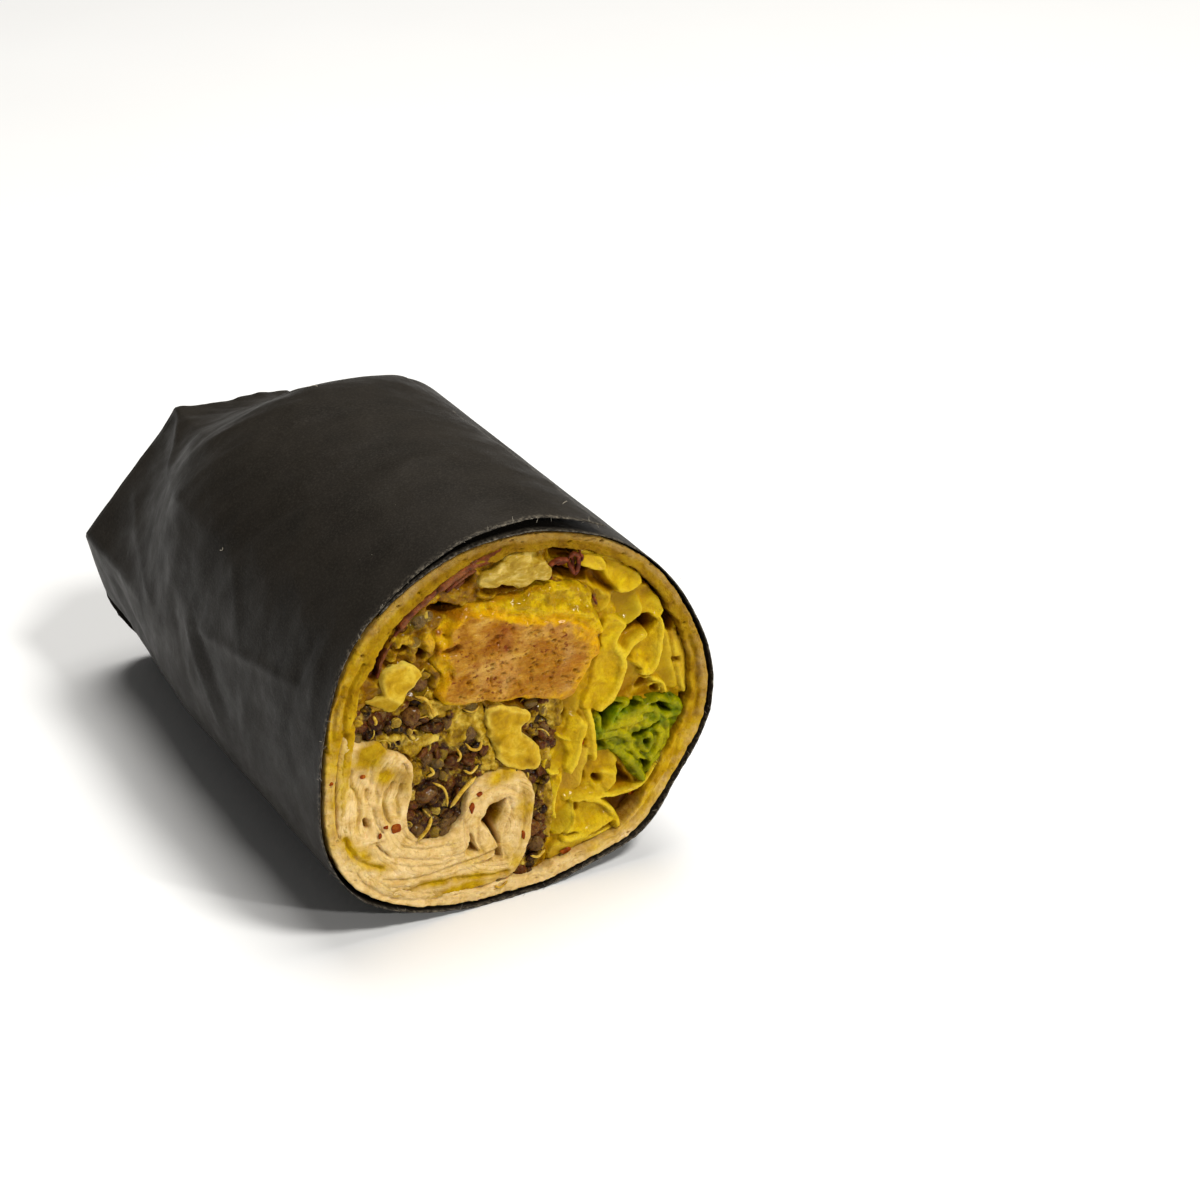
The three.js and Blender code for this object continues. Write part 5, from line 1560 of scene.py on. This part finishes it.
# Grains that the cut shows best: right, up, radius, tone, front. Tone runs from black (0) through
# red-brown and grey to cream (1).
SEEN_GRAINS = [
    (-9.7, 27.6, 1.2, 0.36, 0.3), (-7.3, 27.3, 1.3, 0.42, 0.1), (-6.7, 31.4, 1.3, 0.66, 0.3),
    (-20.6, 33, 1.15, 0.6, 0.2), (-14.4, 30.2, 1, 0.4, 0.5), (-11.9, 29.4, 1, 0.38, 0.6),
    (-12.1, 27.9, 1.1, 0.78, 0.5), (-14, 23.2, 2.1, 0.58, 0.2), (-16.3, 22.2, 1.4, 0.3, 0.8),
    (-8.8, 21.7, 1.4, 0.2, 0.4), (-9.9, 20.4, 1.2, 0.16, 0.7), (-11.6, 19.6, 1.2, 0.1, 1),
    (-12.9, 18.6, 1.3, 0.08, 0.9), (-10.9, 17.5, 1.15, 0.6, 0.6), (-14.3, 17.8, 1.2, 0.3, 1),
    (-15.3, 19.8, 1.1, 0.14, 1.2), (-5.7, 28.9, 1.1, 0.05, 0.7), (-4.3, 28, 1.1, 0.36, 0.5),
    (-5.4, 26.1, 1, 0.12, 0.8), (-7.2, 25.3, 1.1, 0.2, 0.9), (-10.6, 25, 1.2, 0.06, 1.4),
    (-12.9, 26, 1.1, 0.1, 0.9), (-16, 36.8, 1.5, 0.55, 0.2), (-14.2, 35.8, 1, 0.3, 0.5),
    (-19.4, 36, 1.2, 0.05, 0.5), (-18, 35.1, 1.2, 0.1, 0.5), (-21.4, 37.6, 1.2, 0.36, 0.6),
    (-22.6, 35.6, 1, 0.1, 0.6), (-24.8, 35.2, 1.3, 0.84, 0.5), (-24.8, 36.9, 0.8, 0.38, 0.6),
    (-22.8, 39.2, 1, 0.12, 1), (-10, 35.5, 0.9, 0.3, 0.5), (-13.5, 34.1, 1.1, 0.2, 0.6),
    (-11.9, 33.5, 1.1, 0.3, 0.5), (-15.8, 33.4, 1, 0.2, 0.8), (-13.6, 32.5, 1, 0.7, 0.5),
    (-6.4, 35.6, 1.2, 0.74, 0.5), (-11.2, 32.4, 0.9, 0.36, 0.6), (-15, 28.2, 0.9, 0.02, 0.9),
    (-17.4, 33.8, 0.9, 0.2, 0.7), (-17.4, 19, 0.8, 0.72, 0.1), (-18.6, 36.6, 0.8, 0.98, -0.1),
    (-16.7, 34.8, 0.5, 0.98, -0.1), (-12.2, 21.4, 1, 0.3, 0.8), (-8.4, 24, 0.8, 0.2, 0.8),
    (-14.3, 41.3, 1.2, 0.66, 0.6), (-13.4, 39.6, 0.9, 0.6, 0.8), (-3, 25, 0.8, 0.2, 0.5),
    (5, 28.2, 1.3, 0.5, 0.4), (5.4, 26.3, 1.1, 0.3, 0.6), (6.6, 26, 0.9, 0.4, 0.7),
    (2.1, 30.3, 1, 0.5, 0.6), (3.3, 33.4, 1.1, 0.7, 0.7), (5.6, 32, 1.2, 0.8, 0.6),
    (7.4, 30.6, 1, 0.82, 0.6), (0.4, 23.1, 0.7, 0.1, 0.4), (1.8, 21.8, 1, 0.5, 0.5),
    (3, 20.8, 0.9, 0.36, 0.5), (5.3, 20.4, 0.9, 0.06, 0.3), (4.6, 22, 0.9, 0.4, 0.5),
    (1.4, 17.2, 0.9, 0.72, 0.5), (3.7, 16.8, 0.9, 0.2, 0.7), (5.2, 15.2, 0.8, 0.1, 0.6),
    (3.2, 12.6, 1.3, 0.55, 0.3), (3.8, 9.6, 1.3, 0.6, 0.3), (2, 10, 0.9, 0.32, 0.5),
    (3, 7.4, 0.9, 0.2, 0.6), (4.8, 18, 0.9, 0.5, 0.6), (-5.5, 5.7, 1.3, 0.34, 0.3),
    (-2.7, 5.9, 1.1, 0.68, 0.2), (1, 5.8, 1.2, 0.38, 0.4), (2.3, 5.2, 0.8, 0.3, 0.6),
    (-14.2, 51.5, 1.2, 0.82, 0.7), (-15.2, 48.4, 1, 0.84, 0.5), (-13.7, 42.8, 0.9, 0.8, 0.6),
    (-16.4, 40.8, 0.9, 0.7, 0.9), (-12.8, 51.8, 0.9, 0.76, 0.8), (-16.6, 51, 0.9, 0.36, 0.9),
    (4.9, 12, 0.9, 0.5, 0.7), (1.2, 14, 0.8, 0.7, 0.6), (4.6, 14, 0.8, 0.4, 0.7),
]
# Loose germs: radius, and path as (right, up, back).
SPROUTS = [
    (0.32, [(-6.4, 24.6, 0.1), (-8, 23.9, -0.4), (-9.2, 23.2, -0.7), (-10.2, 22, -0.6),
     (-10.8, 20.8, -0.2)]),
    (0.28, [(-13.8, 20.2, -0.2), (-14.6, 18.9, -0.7), (-15.4, 18, -0.7), (-16.2, 16.9, -0.3)]),
    (0.2, [(-13.4, 25.6, 0.1), (-12, 24.6, -0.5), (-11.4, 22.8, -0.4), (-11.2, 21, 0)]),
    (0.22, [(-8, 30.6, 0.1), (-7.4, 29.8, -0.6), (-6.2, 29.6, -0.7), (-5.5, 30.6, -0.3)]),
    (0.22, [(-22.3, 39, 0.1), (-22.1, 38.2, -0.4), (-22.2, 37.6, 0)]),
    (0.25, [(-15.6, 40.2, 0.4), (-14.2, 39.6, -0.1), (-13.4, 38, -0.2), (-12.8, 36.2, 0.2)]),
    (0.2, [(-9.4, 30.2, 0.2), (-9, 29, -0.3), (-9.4, 27.9, 0.1)]),
    (0.2, [(-6, 26.4, 0.1), (-7.4, 25.7, -0.3), (-8.4, 26.3, 0)]),
    (0.22, [(-13.7, 28.2, 0.2), (-13.4, 27.4, -0.3), (-14.2, 26.8, 0.1)]),
    (0.2, [(-3.9, 5.2, 0.1), (-3, 4.8, -0.3), (-1.6, 5.3, 0)]),
    (0.2, [(2.4, 8.4, 0.2), (3.4, 8.2, -0.3), (4.8, 8.8, 0.1)]),
]
# Where the sauce pools over the grains, and where the heap is dark.
POOLS = [
    (-7.4, 33.4, 2.6, 1.6, 1), (-4.4, 30.4, 1.1, 2.6, 1), (-10.6, 36.7, 3.6, 0.8, 1),
    (-14.6, 32.2, 2.2, 0.8, 0.8), (-12.8, 38.6, 1.6, 1.4, 1), (-3.6, 26.2, 1.4, 1.8, 0.9),
    (-16.4, 31, 1.4, 1, 0.9), (-18.6, 34, 1.2, 0.7, 0.7), (-9.4, 31, 1.6, 1.2, 0.7),
    (-15.6, 26.4, 0.8, 1.6, 0.8), (6.8, 31, 1.2, 2.4, 1), (4.6, 24.6, 1.3, 0.9, 0.9),
    (5.8, 18, 0.7, 2.2, 0.8), (1.6, 19.4, 0.7, 1.6, 0.8), (4.8, 6.8, 1.2, 1.2, 1),
    (-0.5, 5, 0.7, 0.5, 0.8), (6, 12.6, 0.7, 2.4, 0.8), (-24.6, 38, 1.2, 0.6, 0.6),
]
DARKS = [
    (-13, 20, 4.4, 4.6, 0.9), (-21.4, 36.8, 3, 1.5, 0.9), (-17, 35.8, 2.8, 1.2, 0.8),
    (-12, 34.2, 2.2, 0.8, 0.8), (-9, 27.6, 3.2, 1.5, 0.8), (-5.2, 28.2, 1.2, 1.2, 0.8),
    (-13, 29.4, 1.4, 0.9, 0.8), (3.5, 33.6, 1.2, 1, 0.6), (5, 28, 1.4, 1.4, 0.8),
    (4.6, 21.6, 1.4, 0.8, 0.8), (3.4, 10.6, 1.5, 3, 0.7), (-5, 5.6, 1.2, 0.8, 0.8),
    (1.4, 5.5, 1.2, 0.7, 0.7), (2.6, 16.8, 1.2, 1.6, 0.5),
]


def sauce_film(points):
    """How much sauce lies over the grains at some points, about 0 to 1."""
    return 0.42 + 0.5 * noise(points, 2.4, 58) + dents(points, POOLS) - dents(points, DARKS)


def scattered(outline, count, random):
    """Points inside an outline that keep their distance from one another."""
    shape = curve(outline, 80, closed=True)
    spots = random.uniform(shape.min(0), shape.max(0), (count * 30, 2))
    kept = []
    for spot in spots[to_outline(spots, shape)[2]]:
        if len(kept) < count and all(np.hypot(*(spot - other)) > GRAIN_GAP for other in kept):
            kept.append(spot)
    return kept


def turned(points, random):
    """Points turned a random way about the origin."""
    axis = random.normal(size=3)
    axis /= np.linalg.norm(axis)
    a = random.uniform(0, 2 * math.pi)
    cross = np.array([[0, -axis[2], axis[1]], [axis[2], 0, -axis[0]], [-axis[1], axis[0], 0]])
    rotation = np.eye(3) + math.sin(a) * cross + (1 - math.cos(a)) * cross @ cross
    return points @ rotation.T


def quinoa_bed(outline, seed, hidden):
    """Grains packed in sauce, as one relief: a dome for each, with sauce lying between and over them."""
    random = np.random.default_rng(seed)
    seats = np.array(scattered(outline, 150, random))
    tones = random.choice(TONES, len(seats), p=BED_TONE_SHARES)
    lifts = random.uniform(-0.5, 0.35, len(seats))

    def front(points, distance):
        wavy = points + 0.3 * wobble(points, 1.2, seed)
        away = np.linalg.norm(wavy[:, None] - seats, axis=-1)
        nearest, close = away.argmin(1), away.min(1)
        dome = 1.2 * (1 - np.sqrt(np.clip(1 - (close / 1.25) ** 2, 0, 1)))
        depth = 1.0 + dome + lifts[nearest] + ripples(points, (0.35, 3.2, seed + 2), (0.1, 0.5, seed + 1))
        film = 0.8 + ripples(points, (0.5, 1.6, seed + 3), (0.25, 0.7, seed + 5))
        lying = sauce_film(points)
        depth = blend(depth, film, smoothstep(lying, 0.45, 0.8))
        # painted shade: the gaps between the grains are near black where little sauce lies
        between = blend(0.1, 0.8, smoothstep(lying, 0.1, 0.5))
        tone = blend(tones[nearest], between, 0.8 * smoothstep(close, 1.0, 1.4))
        depth = under(points, depth, hidden) + rounded(distance, 0.4, 0.3)
        return {"depth": depth, "tone": tone, "film": lying}

    return slab(outline, front)


def grain_form():
    """A flattened ball of points, 1 in radius, for a grain, and how pale its seam makes each point."""
    tilts = np.linspace(0, math.pi, GRAIN_ROWS + 2)[1:-1]
    ways = np.linspace(0, 2 * math.pi, GRAIN_AROUND, endpoint=False)
    tilt, way = (part.ravel() for part in np.meshgrid(tilts, ways, indexing="ij"))
    ball = [np.sin(tilt) * np.cos(way), np.sin(tilt) * np.sin(way), FLATNESS * np.cos(tilt)]
    ball = np.vstack([np.stack(ball, 1), (0, 0, POLE), (0, 0, -POLE)])
    return ball, 0.34 * ridge(ball[:, 2] - 0.05, 0.13) - 0.1


def grain_spots(random):
    """The grains seen best, and loose ones scattered over the heap: right, up, radius, tone, front."""
    spots = list(SEEN_GRAINS)
    for outline, count in LOOSE_GRAINS:
        for x, z in scattered(outline, count, random):
            tone = random.choice(TONES[:-1])
            spots.append((x, z, random.uniform(0.7, 1.0), tone, random.uniform(0.7, 1.5)))
    return spots


def germ_ring(radius, random):
    """The curled germ that comes loose round a cooked grain."""
    sweep = random.uniform(2.4, 4.6)
    t = np.linspace(0, sweep, 18)
    grow = 1.0 + 0.3 * np.clip((t - sweep * 0.6) / sweep, 0, 1) ** 1.5 * random.uniform(0.2, 1.6)
    return turned(np.stack([np.cos(t) * grow, np.sin(t) * grow, 0.08 * np.sin(3 * t)], 1) * radius, random)


def quinoa():
    """The loose grains, and the germs on them."""
    random = np.random.default_rng(51)
    ball, seam = grain_form()
    faces = ball_faces(GRAIN_ROWS, GRAIN_AROUND)
    squeeze = (1, 1, 0.85)
    grains, germs = [], []
    for index, (x, z, radius, tone, back) in enumerate(grain_spots(random)):
        seat = np.array([x, z, back + radius * 0.72])
        dented = 1 + ripples(ball * 2 + 7 * index, (0.16, 1.7, 52), (0.07, 0.7, 57))
        points = turned(ball * dented[:, None] * radius, random) * squeeze + seat
        film = 0.8 * sauce_film(np.array([[x, z]]))[0] - (0.15 if radius > 1.15 else 0.0)
        tone = np.clip(tone + random.uniform(-0.05, 0.05) + seam * random.uniform(0.2, 1.2), 0, 1)
        grains.append(Shape(points, faces, tone=tone, film=film, depth=max(back - 0.4, 0)))
        if random.random() < GERM_SHARE:
            ring = germ_ring(radius, random) * squeeze + seat
            germs.append(tube(ring, random.uniform(0.08, 0.13), depth=max(back, 0)))
    germs += [tube(curve(path, 20), radius, 8, depth=0.0) for radius, path in SPROUTS]
    return Shape.joined(grains), Shape.joined(germs)


# Chilli flakes and bits of red leaf: right, up, half width, half height. FLAKES_BEHIND says how far behind
# the cut those at some places (right) lie.
FLAKES = [
    (-19.5, 19.7, 1, 0.8), (-21, 20.4, 0.4, 0.3), (-21.9, 19.3, 0.3, 0.4), (-24.3, 29.7, 0.45, 0.3),
    (-7.2, 19.6, 0.35, 0.9), (-6, 21.6, 0.4, 0.4), (-29.2, 29.8, 0.3, 0.25), (1.1, 12.6, 0.3, 0.8),
    (21, 13.2, 0.75, 0.85), (8.7, 7.1, 1.1, 0.45), (11.8, 24.6, 0.45, 0.7),
]
FLAKES_BEHIND = {21: 2.6, 8.7: 0.8, 11.8: 1.5}
FLAKE_SIZE = 0.82


def flakes():
    random = np.random.default_rng(71)
    turn = np.linspace(0, 2 * math.pi, 9, endpoint=False)
    shapes = []
    for index, (x, z, wide, high) in enumerate(FLAKES):
        reach = FLAKE_SIZE * (1 + random.uniform(-0.25, 0.25, 9))
        plan = np.stack([wide * reach * np.cos(turn), high * reach * np.sin(turn)], 1)
        back = FLAKES_BEHIND.get(x, -0.02)
        shapes.append(leaf((x, z) + plan, back, (0, 0), -0.06, 0.22, 0.06, 300 + index, around=18, rings=4))
    return Shape.joined(shapes)


# ---- the pieces

add_piece("paper_sheet", paper_sheet(), LOOKS["paper"], ["paper_wrap"], placed)
add_piece("paper_flaps", paper_flaps(), LOOKS["paper"], ["paper_wrap"], placed)
add_piece("paper_lint", paper_lint(), LOOKS["lint"], (), placed)
add_piece("tortilla_roll", tortilla_roll(), LOOKS["tortilla"], ["tortilla"], placed)
add_piece("tortilla_folds", tortilla_folds(), LOOKS["tortilla"], ["tortilla"])

cube = slab(CUBE, cube_face)
chunk = slab(CHUNK, lumpy(0.2, 29, 0.4, 0.2, 0.35, 0.35, CHUNK_DENTS))
cabbage = slab(CABBAGE, lumpy(0.2, 30, 0.4, 0.18, 0.4, 0.4, CABBAGE_DENTS))
lettuce = slab(LETTUCE, lettuce_front, smooth_points=150)
green = slab(GREEN, green_front, 0.17)
add_piece("chicken_chunk", chicken_chunk(), LOOKS["chicken"], ["chicken"])
add_piece("fruit_cube", cube, LOOKS["fruit"], ["fruit_dice"])
add_piece("fruit_piece", chunk, LOOKS["fruit"], ["fruit_chunk"])
add_piece("cabbage_piece", cabbage, LOOKS["cabbage"], ["cabbage_rib"])
add_piece("curry_sauce", sauce_body(), LOOKS["sauce"], SAUCE_NODES)
add_piece("lettuce_leaves", lettuce, LOOKS["lettuce"], ["lettuce_shreds"])
add_piece("green_lettuce", green, LOOKS["green"], ["green_leaf"])
add_piece("red_leaves", red_leaves(), LOOKS["red"], ["red_leaf"])
add_piece("red_curl_loops", red_curl(), LOOKS["red"], ["red_curl"])

grains, germs = quinoa()
main_bed = quinoa_bed(QUINOA, 53, [CHUNK, CUBE, CHICKEN])
seam_bed = quinoa_bed(SEAM, 57, [CHUNK, CHICKEN])
add_piece("quinoa_bed", main_bed, LOOKS["bed"], ["quinoa_main"])
add_piece("quinoa_seam_bed", seam_bed, LOOKS["bed"], ["quinoa_seam"])
add_piece("quinoa_grains", grains, LOOKS["grain"], ["quinoa_main", "quinoa_seam"])
add_piece("quinoa_germs", germs, LOOKS["germ"], ["quinoa_main", "quinoa_seam"])
add_piece("chilli_flakes", flakes(), LOOKS["chilli"])

# ---- floor, light and camera, in metres

FLOOR_HALF = 3.0
FOOD_AT = (0, -0.05, 0.03)  # the cut face
WARM = (1.0, 0.98, 0.93)
# The camera stands where the photograph was taken from, 45 cm off, looking down at 27 degrees.
CAMERA_AT = (-0.17424, -0.38585, 0.2437)
CAMERA_WAY = (0.4325, 0.7774, -0.4566)


def aimed(name, data, at, way):
    holder = bpy.data.objects.new(name, data)
    holder.location = at
    holder.rotation_euler = Vector(way).to_track_quat("-Z", "Y").to_euler()
    bpy.context.scene.collection.objects.link(holder)
    return holder


def lamp(name, at, aim, power, size):
    light = bpy.data.lights.new(name, "AREA")
    light.shape = "DISK"
    light.size = size
    light.energy = power
    light.color = WARM
    aimed(name, light, at, Vector(aim) - Vector(at))


def add_floor():
    mesh = bpy.data.meshes.new("floor")
    h = FLOOR_HALF
    mesh.from_pydata([(-h, -h, 0), (h, -h, 0), (h, h, 0), (-h, h, 0)], [], [(0, 1, 2, 3)])
    floor = bpy.data.objects.new("floor", mesh)
    bpy.context.scene.collection.objects.link(floor)
    look = Look("floor_white")
    tone = look.ramp(look.noise(90, 2), (0.3, (0.84, 0.845, 0.86, 1)), (0.7, (0.86, 0.865, 0.88, 1)))
    mesh.materials.append(look.finish(tone, 0.7))


def add_world():
    world = bpy.data.worlds.new("studio")
    world.use_nodes = True
    background = world.node_tree.nodes["Background"].inputs
    background["Color"].default_value = (1, 0.98, 0.94, 1)
    background["Strength"].default_value = 0.1
    bpy.context.scene.world = world


def add_camera():
    camera = bpy.data.cameras.new("camera")
    camera.lens = 90
    camera.sensor_width = 36
    bpy.context.scene.camera = aimed("camera", camera, CAMERA_AT, CAMERA_WAY)


add_floor()
add_world()
lamp("key", (0.22, -0.52, 0.82), FOOD_AT, 6.5, 0.2)
lamp("top", (0.2, 0.2, 1.08), (0, 0, 0.03), 11, 0.8)
lamp("glint", (0.32, -0.69, 0.27), FOOD_AT, 2.0, 0.035)
add_camera()
bpy.context.scene.view_settings.view_transform = "Standard"
